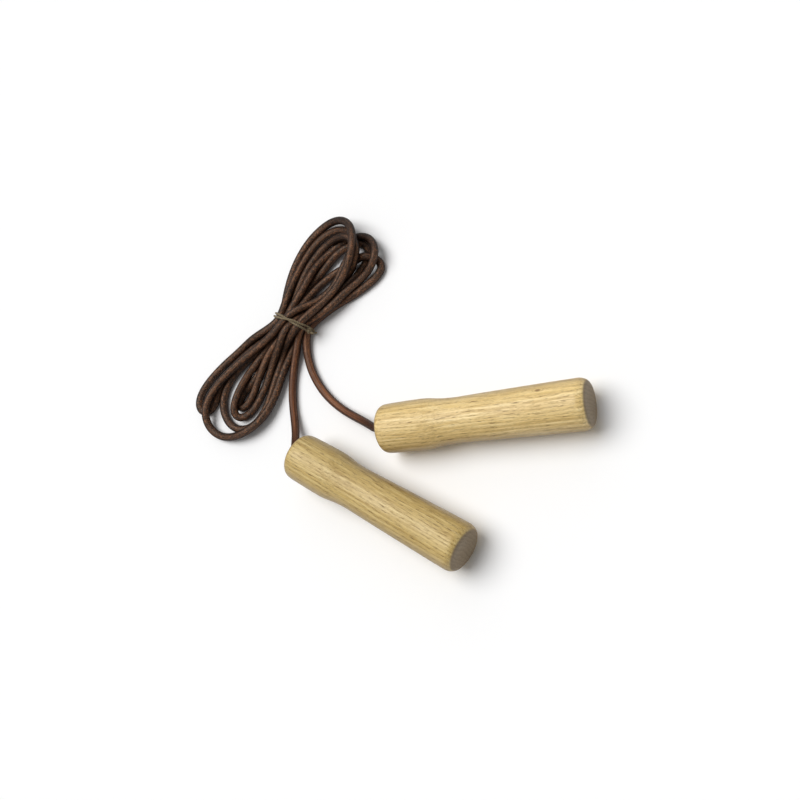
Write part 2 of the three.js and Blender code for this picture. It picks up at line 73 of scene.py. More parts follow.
# x,y,z of the cord's centre line, from the ferrule in handle a to the ferrule in handle b
CORD = points("""
-75.54,11.72,17.75 -75.55,14.72,17.75 -75.56,17.72,17.76 -75.57,20.72,17.76 -75.58,23.72,17.77
-75.58,26.72,17.77 -75.59,29.72,17.78 -75.61,32.72,17.80 -75.57,35.71,17.73 -74.74,38.41,16.68
-73.42,40.80,15.12 -71.84,42.98,13.50 -70.08,45.05,11.91 -68.22,47.09,10.41 -66.29,49.14,9.04
-64.32,51.23,7.82 -62.33,53.34,6.76 -60.32,55.46,5.85 -58.29,57.59,5.09 -56.23,59.69,4.47
-54.13,61.75,3.98 -51.98,63.75,3.62 -49.79,65.68,3.35 -47.54,67.53,3.19 -45.24,69.31,3.09
-42.90,71.02,3.06 -40.51,72.65,3.05 -38.08,74.21,3.05 -35.61,75.70,3.05 -33.12,77.10,3.08
-30.59,78.42,3.15 -28.03,79.64,3.28 -25.44,80.77,3.49 -22.84,81.79,3.77 -20.22,82.72,4.13
-17.60,83.57,4.54 -14.98,84.37,4.99 -12.38,85.12,5.46 -9.82,85.87,5.93 -7.29,86.63,6.40
-4.81,87.35,6.90 -2.36,87.99,7.45 0.04,88.49,8.06 2.39,88.80,8.71 4.69,88.87,9.41
6.95,88.65,10.03 9.18,88.05,10.41 11.39,87.17,10.56 13.59,86.03,10.50 15.78,84.71,10.29
17.99,83.28,10.00 20.23,81.80,9.70 22.52,80.31,9.43 24.87,78.84,9.22 27.30,77.43,9.10
29.81,76.09,9.05 32.40,74.82,9.04 35.05,73.62,9.04 37.77,72.48,9.03 40.55,71.40,8.95
43.37,70.36,8.78 46.21,69.33,8.47 49.04,68.28,8.01 51.86,67.19,7.46 54.68,66.07,6.94
57.49,64.91,6.54 60.32,63.72,6.39 63.16,62.52,6.55 66.04,61.35,7.06 68.94,60.29,7.89
71.87,59.44,8.91 74.78,58.94,9.95 77.64,58.96,10.76 80.38,59.70,11.04 82.94,61.18,10.73
85.24,63.25,10.03 87.23,65.78,9.09 88.83,68.63,8.04 90.00,71.68,6.98 90.67,74.82,5.96
90.83,77.96,5.04 90.46,81.03,4.25 89.57,83.97,3.62 88.21,86.75,3.19 86.44,89.34,3.05
84.33,91.73,3.05 81.96,93.92,3.05 79.41,95.88,3.05 76.73,97.64,3.07 73.96,99.20,3.16
71.14,100.56,3.36 68.28,101.73,3.71 65.39,102.70,4.21 62.48,103.47,4.85 59.54,104.05,5.60
56.58,104.43,6.38 53.60,104.63,7.14 50.59,104.68,7.80 47.58,104.64,8.33 44.56,104.55,8.71
41.54,104.47,8.96 38.54,104.44,9.14 35.55,104.46,9.27 32.58,104.55,9.38 29.62,104.67,9.51
26.68,104.82,9.66 23.76,104.96,9.83 20.84,105.07,10.00 17.94,105.15,10.15 15.05,105.18,10.26
12.17,105.19,10.30 9.30,105.23,10.27 6.44,105.37,10.15 3.59,105.67,9.93 0.76,106.12,9.59
-2.07,106.69,9.15 -4.91,107.36,8.65 -7.75,108.11,8.14 -10.62,108.88,7.64 -13.51,109.68,7.17
-16.41,110.50,6.72 -19.33,111.33,6.30 -22.26,112.14,5.92 -25.20,112.90,5.62 -28.16,113.58,5.44
-31.14,114.17,5.39 -34.12,114.65,5.50 -37.11,115.00,5.79 -40.10,115.23,6.24 -43.09,115.32,6.82
-46.08,115.29,7.46 -49.10,115.13,8.08 -52.13,114.87,8.61 -55.19,114.55,9.03 -58.26,114.19,9.30
-61.31,113.78,9.42 -64.28,113.29,9.35 -67.10,112.66,9.09 -69.64,111.85,8.63 -71.77,110.81,7.99
-73.37,109.53,7.22 -74.34,108.04,6.39 -74.61,106.41,5.56 -74.15,104.73,4.79 -73.01,103.10,4.15
-71.27,101.63,3.66 -69.05,100.38,3.33 -66.46,99.40,3.14 -63.63,98.69,3.06 -60.65,98.23,3.05
-57.61,97.99,3.05 -54.53,97.93,3.05 -51.45,98.00,3.05 -48.38,98.18,3.05 -45.31,98.42,3.09
-42.25,98.70,3.21 -39.21,99.00,3.47 -36.19,99.27,3.89 -33.20,99.48,4.50 -30.24,99.60,5.29
-27.32,99.60,6.26 -24.41,99.44,7.35 -21.52,99.15,8.53 -18.64,98.78,9.78 -15.75,98.42,11.06
-12.85,98.12,12.32 -9.94,97.91,13.48 -7.02,97.76,14.48 -4.11,97.60,15.26 -1.25,97.35,15.73
1.54,96.95,15.86 4.23,96.34,15.61 6.82,95.59,15.01 9.37,94.85,14.12 11.89,94.22,13.00
14.42,93.78,11.71 16.98,93.50,10.36 19.58,93.29,9.04 22.20,93.05,7.80 24.82,92.68,6.65
27.43,92.12,5.60 30.04,91.37,4.71 32.67,90.47,4.02 35.34,89.45,3.54 38.07,88.33,3.24
40.84,87.13,3.10 43.66,85.85,3.05 46.51,84.49,3.05 49.37,83.03,3.13 52.21,81.47,3.37
54.99,79.83,3.85 57.69,78.13,4.63 60.31,76.46,5.77 62.84,74.91,7.27 65.32,73.66,9.09
67.79,72.77,11.03 70.31,72.30,12.83 72.94,72.28,14.14 75.60,72.77,14.90 78.09,73.79,15.33
80.25,75.33,15.54 81.97,77.36,15.62 83.20,79.78,15.63 83.91,82.51,15.46 84.13,85.40,14.92
83.93,88.35,13.95 83.33,91.28,12.71 82.38,94.15,11.32 81.12,96.89,9.91 79.59,99.48,8.55
77.81,101.88,7.33 75.81,104.08,6.26 73.61,106.05,5.36 71.21,107.78,4.64 68.66,109.26,4.08
65.97,110.49,3.66 63.16,111.48,3.37 60.27,112.25,3.19 57.31,112.81,3.09 54.31,113.19,3.05
51.29,113.40,3.05 48.26,113.48,3.05 45.23,113.44,3.05 42.22,113.29,3.05 39.23,113.07,3.06
36.28,112.77,3.09 33.36,112.41,3.16 30.48,111.98,3.26 27.64,111.48,3.40 24.84,110.92,3.57
22.06,110.30,3.78 19.30,109.66,4.02 16.56,109.03,4.25 13.82,108.47,4.46 11.09,108.03,4.62
8.38,107.81,4.69 5.70,107.86,4.65 3.06,108.33,4.44 0.45,109.03,4.17 -2.17,109.92,3.89
-4.79,110.92,3.63 -7.44,111.99,3.43 -10.11,113.10,3.31 -12.81,114.23,3.28 -15.52,115.38,3.33
-18.25,116.56,3.44 -20.98,117.78,3.58 -23.70,119.05,3.73 -26.42,120.36,3.86 -29.13,121.70,3.95
-31.85,123.05,4.00 -34.59,124.37,3.99 -37.34,125.64,3.94 -40.12,126.83,3.84 -42.94,127.90,3.72
-45.78,128.84,3.59 -48.65,129.61,3.45 -51.55,130.17,3.33 -54.46,130.51,3.23 -57.36,130.60,3.15
-60.26,130.41,3.10 -63.11,129.94,3.07 -65.90,129.17,3.06 -68.61,128.11,3.06 -71.19,126.75,3.06
-73.62,125.12,3.07 -75.86,123.23,3.08 -77.87,121.09,3.08 -79.62,118.73,3.08 -81.06,116.19,3.08
-82.16,113.50,3.08 -82.89,110.71,3.08 -83.21,107.87,3.08 -83.10,105.04,3.08 -82.56,102.30,3.08
-81.60,99.71,3.08 -80.23,97.31,3.08 -78.50,95.18,3.08 -76.44,93.34,3.08 -74.12,91.81,3.08
-71.58,90.62,3.08 -68.88,89.74,3.08 -66.07,89.16,3.08 -63.18,88.86,3.08 -60.24,88.81,3.08
-57.27,88.96,3.08 -54.29,89.29,3.08 -51.30,89.74,3.08 -48.31,90.29,3.08 -45.32,90.90,3.08
-42.33,91.54,3.07 -39.34,92.17,3.07 -36.36,92.78,3.06 -33.39,93.36,3.05 -30.45,93.92,3.05
-27.53,94.45,3.07 -24.66,94.96,3.21 -21.84,95.45,3.55 -19.09,95.87,4.13 -16.41,96.14,4.95
-13.78,96.16,5.96 -11.19,95.83,7.11 -8.65,95.17,8.36 -6.16,94.29,9.72 -3.71,93.28,11.17
-1.27,92.25,12.65 1.20,91.22,14.03 3.75,90.24,15.18 6.40,89.25,15.96 9.12,88.26,16.37
11.88,87.27,16.50 14.68,86.28,16.34 17.49,85.30,15.97 20.30,84.32,15.41 23.11,83.33,14.75
25.92,82.35,14.06 28.73,81.38,13.38 31.55,80.42,12.80 34.38,79.48,12.36 37.22,78.56,12.09
40.09,77.66,12.02 42.98,76.81,12.15 45.88,75.99,12.48 48.80,75.22,12.99 51.73,74.51,13.67
54.67,73.87,14.47 57.63,73.33,15.37 60.59,72.91,16.34 63.55,72.63,17.35 66.52,72.52,18.37
69.48,72.62,19.34 72.45,72.95,20.21 75.39,73.54,20.91 78.29,74.42,21.37 81.08,75.62,21.55
83.70,77.14,21.37 86.10,78.99,20.83 88.24,81.15,20.01 90.10,83.56,18.99 91.64,86.20,17.84
92.85,89.01,16.60 93.72,91.94,15.31 94.23,94.94,14.00 94.38,97.95,12.69 94.17,100.94,11.39
93.61,103.86,10.11 92.71,106.67,8.88 91.48,109.34,7.72 89.95,111.84,6.65 88.15,114.14,5.70
86.10,116.23,4.89 83.83,118.10,4.24 81.37,119.74,3.75 78.76,121.16,3.41 76.02,122.36,3.19
73.19,123.35,3.09 70.27,124.15,3.05 67.30,124.77,3.05 64.29,125.23,3.06 61.25,125.53,3.06
58.20,125.70,3.07 55.15,125.75,3.08 52.11,125.66,3.08 49.07,125.46,3.07 46.05,125.14,3.07
43.06,124.72,3.06 40.09,124.18,3.06 37.15,123.55,3.07 34.24,122.82,3.09 31.38,122.00,3.15
28.56,121.08,3.25 25.80,120.07,3.41 23.09,118.96,3.64 20.44,117.78,3.92 17.83,116.58,4.25
15.24,115.44,4.59 12.65,114.49,4.89 10.03,113.86,5.07 7.33,113.73,5.07 4.56,114.10,4.88
1.78,114.84,4.56 -1.00,115.80,4.20 -3.75,116.89,3.84 -6.48,118.03,3.53 -9.20,119.17,3.30
-11.93,120.30,3.15 -14.66,121.45,3.07 -17.39,122.64,3.05 -20.12,123.87,3.05 -22.84,125.17,3.05
-25.55,126.51,3.05 -28.26,127.87,3.06 -30.96,129.21,3.06 -33.67,130.52,3.07 -36.39,131.75,3.08
-39.15,132.89,3.08 -41.93,133.92,3.08 -44.74,134.81,3.08 -47.59,135.54,3.08 -50.45,136.10,3.08
-53.34,136.45,3.08 -56.23,136.59,3.08 -59.12,136.49,3.08 -62.02,136.17,3.08 -64.92,135.69,3.08
-67.82,135.12,3.08 -70.69,134.57,3.08 -73.52,134.19,3.07 -76.23,134.11,3.06 -78.75,134.43,3.05
-80.97,135.23,3.05 -82.79,136.50,3.05 -84.07,138.18,3.05 -84.73,140.15,3.06 -84.71,142.25,3.07
-84.00,144.32,3.07 -82.64,146.18,3.08 -80.73,147.71,3.08 -78.38,148.85,3.08 -75.71,149.57,3.08
-72.84,149.90,3.08 -69.86,149.88,3.08 -66.85,149.59,3.08 -63.84,149.08,3.08 -60.86,148.41,3.08
-57.91,147.61,3.08 -54.99,146.72,3.08 -52.10,145.74,3.07 -49.23,144.69,3.06 -46.40,143.56,3.06
-43.59,142.38,3.05 -40.82,141.13,3.05 -38.09,139.84,3.07 -35.40,138.50,3.15 -32.74,137.13,3.33
-30.13,135.71,3.63 -27.57,134.25,4.08 -25.05,132.74,4.66 -22.58,131.17,5.36 -20.16,129.51,6.14
-17.80,127.77,6.91 -15.50,125.94,7.63 -13.23,124.03,8.25 -10.98,122.09,8.77 -8.73,120.15,9.21
-6.45,118.25,9.55 -4.14,116.44,9.83 -1.78,114.76,10.05 0.65,113.29,10.22 3.15,112.13,10.35
5.74,111.39,10.43 8.45,111.19,10.47 11.23,111.41,10.39 14.06,111.96,10.14 16.92,112.69,9.76
19.79,113.53,9.29 22.67,114.39,8.75 25.56,115.23,8.18 28.46,116.04,7.61 31.38,116.78,7.04
34.32,117.46,6.50 37.30,118.07,5.98 40.31,118.59,5.50 43.34,119.00,5.05 46.40,119.32,4.64
49.48,119.54,4.28 52.57,119.64,3.97 55.67,119.63,3.71 58.77,119.49,3.50 61.86,119.21,3.34
64.91,118.76,3.24 67.92,118.12,3.19 70.85,117.26,3.21 73.69,116.16,3.30 76.39,114.81,3.46
78.93,113.17,3.71 81.28,111.25,4.04 83.39,109.05,4.48 85.23,106.60,5.01 86.75,103.91,5.64
87.92,101.05,6.34 88.70,98.07,7.09 89.04,95.05,7.82 88.92,92.06,8.46 88.33,89.21,8.94
87.24,86.58,9.17 85.68,84.28,9.23 83.68,82.41,9.39 81.30,81.01,9.71 78.64,80.04,10.15
75.78,79.47,10.66 72.80,79.20,11.15 69.73,79.11,11.49 66.63,79.12,11.60 63.54,79.19,11.50
60.47,79.27,11.16 57.43,79.37,10.63 54.44,79.59,10.02 51.49,79.96,9.45 48.59,80.51,8.97
45.73,81.23,8.64 42.93,82.11,8.50 40.19,83.10,8.55 37.52,84.19,8.81 34.93,85.35,9.27
32.44,86.59,9.93 30.04,87.89,10.76 27.73,89.25,11.73 25.51,90.68,12.79 23.34,92.17,13.87
21.19,93.70,14.89 19.01,95.22,15.75 16.76,96.70,16.37 14.43,98.09,16.75 12.03,99.39,16.90
9.55,100.57,16.86 7.00,101.63,16.65 4.42,102.62,16.33 1.83,103.60,15.93 -0.75,104.61,15.49
-3.32,105.70,15.02 -5.85,106.87,14.54 -8.37,108.14,14.06 -10.86,109.50,13.56 -13.33,110.92,13.07
-15.79,112.41,12.60 -18.26,113.94,12.16 -20.72,115.50,11.75 -23.20,117.07,11.40 -25.69,118.66,11.09
-28.21,120.25,10.82 -30.75,121.82,10.59 -33.33,123.37,10.39 -35.94,124.89,10.21 -38.58,126.36,10.03
-41.26,127.79,9.86 -43.98,129.15,9.70 -46.74,130.45,9.55 -49.54,131.66,9.42 -52.37,132.77,9.31
-55.24,133.77,9.23 -58.15,134.64,9.19 -61.08,135.37,9.19 -64.04,135.93,9.24 -67.01,136.33,9.31
-69.99,136.52,9.39 -72.95,136.51,9.45 -75.87,136.28,9.45 -78.72,135.82,9.33 -81.47,135.12,9.04
-84.06,134.17,8.52 -86.44,132.96,7.80 -88.58,131.48,6.96 -90.42,129.72,6.06 -91.94,127.71,5.20
-93.12,125.45,4.45 -93.92,122.99,3.87 -94.36,120.38,3.50 -94.45,117.66,3.36 -94.20,114.88,3.43
-93.65,112.09,3.70 -92.83,109.33,4.12 -91.76,106.63,4.66 -90.48,104.01,5.26 -88.99,101.49,5.88
-87.31,99.09,6.48 -85.46,96.81,7.02 -83.44,94.68,7.47 -81.27,92.70,7.80 -78.95,90.90,8.02
-76.51,89.30,8.11 -73.95,87.90,8.09 -71.29,86.71,7.98 -68.54,85.75,7.79 -65.73,85.01,7.54
-62.86,84.49,7.25 -59.94,84.19,6.94 -57.00,84.07,6.63 -54.03,84.14,6.33 -51.06,84.36,6.07
-48.07,84.71,5.84 -45.09,85.16,5.67 -42.11,85.69,5.54 -39.13,86.27,5.45 -36.16,86.87,5.38
-33.20,87.46,5.32 -30.24,88.03,5.22 -27.28,88.55,5.07 -24.33,89.04,4.85 -21.38,89.48,4.54
-18.44,89.91,4.19 -15.52,90.34,3.83 -12.62,90.81,3.53 -9.76,91.35,3.39 -6.93,91.90,3.42
-4.14,92.41,3.60 -1.38,92.82,3.88 1.34,93.09,4.20 4.04,93.16,4.50 6.73,93.03,4.69
9.41,92.68,4.68 12.08,92.12,4.50 14.74,91.37,4.21 17.38,90.47,3.88 20.01,89.43,3.56
22.64,88.30,3.31 25.27,87.11,3.15 27.91,85.86,3.07 30.56,84.57,3.05 33.22,83.26,3.05
35.91,81.92,3.06 38.61,80.57,3.07 41.33,79.23,3.07 44.06,77.89,3.08 46.82,76.56,3.08
49.60,75.27,3.07 52.40,74.00,3.06 55.23,72.79,3.06 58.08,71.67,3.05 60.97,70.67,3.05
63.88,69.82,3.05 66.82,69.18,3.06 69.75,68.77,3.06 72.64,68.67,3.05 75.42,68.90,3.05
78.04,69.49,3.05 80.37,70.45,3.05 82.31,71.77,3.05 83.76,73.44,3.05 84.65,75.41,3.06
84.94,77.58,3.10 84.66,79.88,3.21 83.85,82.20,3.39 82.59,84.46,3.66 80.96,86.61,4.01
79.03,88.58,4.35 76.86,90.38,4.64 74.51,91.98,4.83 72.01,93.39,4.89 69.40,94.65,4.81
66.70,95.76,4.62 63.91,96.77,4.33 61.07,97.69,4.01 58.19,98.58,3.68 55.29,99.45,3.40
52.38,100.34,3.20 49.48,101.22,3.08 46.58,102.09,3.05 43.69,102.88,3.05 40.81,103.56,3.05
37.93,104.09,3.05 35.04,104.44,3.06 32.16,104.61,3.09 29.29,104.60,3.16 26.43,104.41,3.30
23.58,104.07,3.51 20.73,103.63,3.77 17.90,103.13,4.06 15.07,102.63,4.36 12.24,102.20,4.60
9.42,101.92,4.79 6.61,101.83,4.77 3.80,101.95,4.62 0.98,102.22,4.39 -1.85,102.60,4.11
-4.69,103.07,3.83 -7.56,103.60,3.59 -10.44,104.17,3.39 -13.33,104.77,3.25 -16.25,105.38,3.15
-19.18,106.01,3.09 -22.13,106.63,3.06 -25.09,107.24,3.05 -28.07,107.83,3.05 -31.05,108.40,3.05
-34.04,108.94,3.05 -37.02,109.46,3.05 -40.00,109.99,3.05 -42.98,110.55,3.05 -45.94,111.16,3.05
-48.90,111.84,3.05 -51.84,112.56,3.05 -54.74,113.25,3.05 -57.58,113.80,3.06 -60.27,114.10,3.06
-62.71,114.07,3.06 -64.79,113.65,3.06 -66.38,112.85,3.05 -67.35,111.72,3.05 -67.63,110.38,3.05
-67.20,108.98,3.08 -66.07,107.64,3.14 -64.34,106.49,3.26 -62.11,105.61,3.44 -59.52,105.00,3.70
-56.70,104.67,4.04 -53.75,104.55,4.43 -50.75,104.57,4.89 -47.73,104.68,5.38 -44.73,104.83,5.90
-41.74,104.97,6.43 -38.76,105.09,6.95 -35.78,105.19,7.45 -32.81,105.27,7.91 -29.83,105.32,8.30
-26.87,105.31,8.64 -23.93,105.23,8.92 -21.01,105.03,9.14 -18.13,104.70,9.32 -15.30,104.20,9.47
-12.52,103.55,9.61 -9.79,102.78,9.76 -7.09,101.98,9.93 -4.43,101.21,10.09 -1.78,100.54,10.23
0.85,100.00,10.33 3.48,99.63,10.36 6.10,99.40,10.32 8.72,99.30,10.18 11.36,99.28,9.93
14.00,99.30,9.57 16.65,99.35,9.07 19.31,99.41,8.47 21.99,99.45,7.79 24.69,99.45,7.05
27.40,99.37,6.29 30.13,99.19,5.54 32.87,98.87,4.86 35.63,98.39,4.27 38.41,97.73,3.79
41.18,96.89,3.45 43.96,95.86,3.22 46.73,94.64,3.10 49.47,93.25,3.05 52.18,91.70,3.05
54.84,90.00,3.08 57.44,88.17,3.17 59.98,86.20,3.34 62.46,84.12,3.64 64.89,81.93,4.12
67.27,79.65,4.79 69.58,77.33,5.69 71.79,75.00,6.80 73.83,72.70,7.94 75.55,70.41,8.92
76.94,68.12,9.01 77.97,65.86,8.05 78.61,63.64,6.61 78.82,61.37,5.22 78.57,59.13,4.21
77.81,57.12,3.54 76.54,55.52,3.19 74.80,54.44,3.06 72.68,53.91,3.05 70.27,53.92,3.05
67.67,54.41,3.06 64.97,55.29,3.06 62.25,56.46,3.06 59.54,57.83,3.06 56.87,59.32,3.06
54.24,60.91,3.06 51.65,62.55,3.05 49.10,64.26,3.05 46.59,66.03,3.05 44.11,67.86,3.05
41.65,69.72,3.05 39.20,71.58,3.05 36.73,73.40,3.06 34.22,75.15,3.08 31.69,76.81,3.13
29.10,78.38,3.22 26.48,79.85,3.35 23.80,81.23,3.54 21.09,82.53,3.78 18.35,83.73,4.05
15.60,84.75,4.35 12.84,85.50,4.63 10.10,85.88,4.83 7.43,85.77,4.85 4.82,85.11,4.63
2.25,84.11,4.33 -0.27,82.82,4.00 -2.73,81.33,3.69 -5.12,79.66,3.44 -7.42,77.85,3.26
-9.63,75.91,3.14 -11.73,73.85,3.08 -13.73,71.66,3.05 -15.63,69.37,3.05 -17.42,66.99,3.06
-19.10,64.52,3.06 -20.68,62.00,3.07 -22.15,59.42,3.08 -23.53,56.81,3.08 -24.80,54.17,3.08
-25.96,51.49,3.07 -27.02,48.79,3.06 -27.97,46.06,3.05 -28.82,43.31,3.05 -29.56,40.53,3.05
-30.20,37.73,3.08 -30.73,34.90,3.16 -31.17,32.06,3.30 -31.52,29.19,3.52 -31.78,26.30,3.82
-31.97,23.39,4.22 -32.08,20.47,4.70 -32.13,17.53,5.27 -32.14,14.57,5.92 -32.12,11.60,6.65
-32.09,8.63,7.46 -32.06,5.65,8.35 -32.05,2.68,9.33 -32.07,-0.27,10.40 -32.11,-3.20,11.57
-32.14,-6.10,12.84 -32.11,-8.98,14.17 -31.94,-11.83,15.53 -31.53,-14.67,16.86 -30.66,-17.44,17.74
-29.14,-20.02,17.80 -27.57,-22.57,17.78 -26.01,-25.14,17.77 -24.44,-27.70,17.77
-22.88,-30.26,17.76 -21.32,-32.82,17.76 -19.75,-35.38,17.75 -18.19,-37.94,17.75
""")

# x,y,z of the tie's centre line: two turns round the coil, with loose ends
TIE = points("""
8.14,75.77,12.03 8.15,76.42,12.01 8.15,77.08,11.83 8.15,77.74,11.58 8.14,78.40,11.32 8.14,79.06,11.11
8.13,79.72,11.02 8.12,80.37,11.11 8.11,81.00,11.39 8.10,81.57,11.82 8.09,82.06,12.37 8.08,82.44,12.98
8.08,82.68,13.64 8.07,82.78,14.31 8.07,82.81,14.99 8.07,82.81,15.67 8.06,82.85,16.34 8.06,82.91,17.02
8.06,83.02,17.69 8.07,83.17,18.35 8.08,83.39,19.00 8.10,83.69,19.61 8.12,84.10,20.16 8.13,84.60,20.63
8.16,85.17,21.00 8.18,85.80,21.26 8.20,86.48,21.24 8.22,87.15,21.21 8.23,87.82,21.18 8.24,88.50,21.14
8.24,89.17,21.09 8.26,89.84,21.04 8.30,90.52,20.99 8.36,91.19,20.94 8.43,91.86,20.91 8.51,92.53,20.87
8.59,93.20,20.84 8.68,93.86,20.81 8.76,94.53,20.78 8.85,95.20,20.75 8.93,95.87,20.73 9.01,96.53,20.71
9.09,97.20,20.69 9.16,97.87,20.68 9.23,98.53,20.68 9.29,99.19,20.68 9.34,99.85,20.68 9.38,100.52,20.70
9.39,101.19,20.65 9.40,101.84,20.50 9.41,102.46,20.26 9.41,103.05,19.95 9.42,103.64,19.64
9.42,104.23,19.32 9.42,104.81,19.01 9.43,105.40,18.69 9.43,105.98,18.37 9.43,106.55,18.04
9.43,107.13,17.71 9.43,107.70,17.37 9.43,108.27,17.03 9.43,108.83,16.68 9.42,109.39,16.33
9.42,109.95,15.97 9.41,110.51,15.61 9.40,111.06,15.24 9.39,111.61,14.87 9.38,112.16,14.49
9.36,112.71,14.12 9.35,113.26,13.74 9.34,113.80,13.34 9.32,114.26,12.86 9.31,114.64,12.30
9.30,114.92,11.70 9.28,115.21,11.09 9.27,115.50,10.49 9.26,115.79,9.88 9.24,116.08,9.28
9.23,116.37,8.67 9.22,116.65,8.07 9.20,116.94,7.46 9.19,117.23,6.85 9.18,117.49,6.23 9.17,117.64,5.57
9.17,117.67,4.90 9.18,117.58,4.23 9.19,117.37,3.59 9.20,117.06,2.99 9.23,116.65,2.46 9.25,116.15,2.01
9.28,115.58,1.65 9.30,114.96,1.40 9.31,114.30,1.25 9.32,113.63,1.22 9.33,112.96,1.18 9.34,112.29,1.14
9.35,111.62,1.11 9.35,110.95,1.07 9.36,110.28,1.03 9.37,109.61,1.00 9.37,108.94,0.96 9.35,108.46,0.95
9.45,107.37,0.95 9.48,106.87,0.95 9.52,106.20,0.95 9.56,105.53,0.95 9.60,104.85,0.95 9.64,104.18,0.95
9.68,103.51,0.95 9.71,102.84,0.95 9.72,102.20,0.95 9.77,101.47,0.95 9.81,100.82,0.95 9.84,100.15,0.95
9.87,99.48,0.95 9.89,98.81,0.95 9.90,98.14,0.95 9.91,97.47,0.95 9.92,96.80,0.95 9.92,96.13,0.95
9.92,95.47,0.95 9.91,94.80,0.95 9.90,94.13,0.95 9.89,93.59,0.95 9.85,92.87,0.95 9.67,91.77,0.95
9.92,91.31,0.95 9.97,90.63,0.95 10.02,89.95,0.95 10.06,89.27,0.95 10.10,88.59,0.96 10.12,87.91,0.96
10.14,87.23,0.96 10.15,86.55,0.96 10.15,85.87,0.97 10.15,85.20,1.02 10.15,84.54,1.19 10.15,83.92,1.47
10.17,83.36,1.86 10.18,82.88,2.34 10.20,82.49,2.90 10.24,82.20,3.51 10.30,82.02,4.17 10.37,81.96,4.84
10.46,82.01,5.51 10.54,82.06,6.19 10.61,82.11,6.86 10.68,82.16,7.53 10.74,82.21,8.21 10.80,82.27,8.89
10.79,82.33,9.56 10.79,82.40,10.23 10.79,82.47,10.91 10.79,82.54,11.58 10.78,82.60,12.25
10.78,82.67,12.93 10.78,82.74,13.60 10.77,82.81,14.27 10.71,83.01,14.87 10.63,83.20,15.45
10.55,83.40,16.04 10.46,83.59,16.61 10.37,83.79,17.19 10.27,83.99,17.76 10.19,84.28,18.30
10.13,84.64,18.79 10.10,85.07,19.23 10.08,85.56,19.60 10.08,86.09,19.89 10.06,86.63,20.18
10.05,87.17,20.46 10.02,87.71,20.73 10.00,88.26,20.99 9.97,88.81,21.24 9.93,89.37,21.48
9.88,89.94,21.70 9.80,90.51,21.89 9.71,91.08,22.06 9.60,91.67,22.20 9.47,92.26,22.31
9.34,92.86,22.39 9.22,93.47,22.45 9.08,94.07,22.50 8.95,94.68,22.51 8.82,95.30,22.50 8.68,95.91,22.46
8.55,96.52,22.40 8.42,97.14,22.31 8.29,97.75,22.19 8.16,98.37,22.06 8.05,98.99,21.89 7.94,99.60,21.71
7.84,100.22,21.50 7.75,100.82,21.28 7.70,101.42,21.03 7.64,102.01,20.77 7.59,102.60,20.50
7.53,103.19,20.21 7.48,103.77,19.92 7.42,104.35,19.61 7.37,104.93,19.30 7.31,105.50,18.98
7.26,106.07,18.65 7.21,106.64,18.31 7.16,107.20,17.96 7.12,107.76,17.60 7.07,108.32,17.24
7.03,108.88,16.87 6.99,109.43,16.50 6.95,109.98,16.12 6.92,110.53,15.74 6.89,111.08,15.35
6.87,111.62,14.96 6.85,112.17,14.57 6.83,112.71,14.18 6.81,113.26,13.78 6.81,113.80,13.38
6.80,114.28,12.91 6.79,114.66,12.35 6.78,114.95,11.74 6.78,115.23,11.12 6.79,115.52,10.51
6.80,115.80,9.89 6.82,116.08,9.28 6.84,116.37,8.66 6.87,116.65,8.04 6.92,116.93,7.43 6.97,117.21,6.81
7.03,117.47,6.19 7.08,117.61,5.52 7.12,117.64,4.84 7.15,117.54,4.17 7.17,117.33,3.53 7.18,117.01,2.93
7.17,116.58,2.39 7.15,116.08,1.94 7.12,115.50,1.59 7.08,114.86,1.34 7.05,114.20,1.21 7.01,113.52,1.18
6.99,112.85,1.14 6.96,112.17,1.11 6.94,111.49,1.08 6.93,110.82,1.05 6.91,110.14,1.01 6.90,109.46,0.98
6.89,108.81,0.95 6.88,108.24,0.95 6.86,107.18,0.95 6.94,106.70,0.95 6.97,106.02,0.95 7.00,105.35,0.95
7.04,104.68,0.95 7.07,104.00,0.95 7.11,103.33,0.95 7.14,102.66,0.95 7.18,102.00,0.95 7.21,101.31,0.95
7.24,100.63,0.95 7.27,99.95,0.95 7.30,99.28,0.95 7.33,98.60,0.95 7.36,97.93,0.95 7.39,97.25,0.95
7.42,96.57,0.95 7.45,95.89,0.95 7.48,95.22,0.95 7.51,94.54,0.95 7.54,93.86,0.95 7.55,93.29,0.95
7.60,92.36,0.95 7.64,91.81,0.95 7.68,91.14,0.95 7.71,90.48,0.95 7.75,89.81,0.95 7.78,89.14,0.95
7.81,88.46,0.95 7.84,87.79,0.95 7.87,87.11,0.95 7.90,86.43,0.95 7.93,85.74,0.95 7.97,85.07,1.01
8.00,84.42,1.19 8.02,83.82,1.51 8.04,83.27,1.92 8.07,82.78,2.39 8.10,82.35,2.88 8.12,82.02,3.43
8.12,81.83,4.12 8.09,81.85,5.03 8.05,81.99,5.99 8.05,82.04,6.64 8.15,81.83,6.62 8.34,81.33,6.09
8.55,80.75,5.73 8.79,80.14,5.57 9.04,79.51,5.53 9.30,78.87,5.55 9.58,78.24,5.58 9.88,77.64,5.53
""")
KNOT_CENTRE = np.array([8.507, 80.905, 11.723])
KNOT_X = np.array([0.99894, 0.04603, 0.0])
KNOT_Y = np.array([0.04603, -0.99894, 0.0])
KNOT_SCALE = (0.55, 0.62, 0.95)

# ---------------------------------------------------------------- handle dimensions
# at: centre of the front face, where the cord enters; axis: from there to the butt
HANDLES = {
    "a": dict(at=(-75.609, 34.716, 17.79), axis=(0.003091, -0.999993, -0.001929), seed=3),
    "b": dict(at=(-30.175, -18.307, 17.79), axis=(0.521062, -0.853516, -0.001929), seed=5),
}
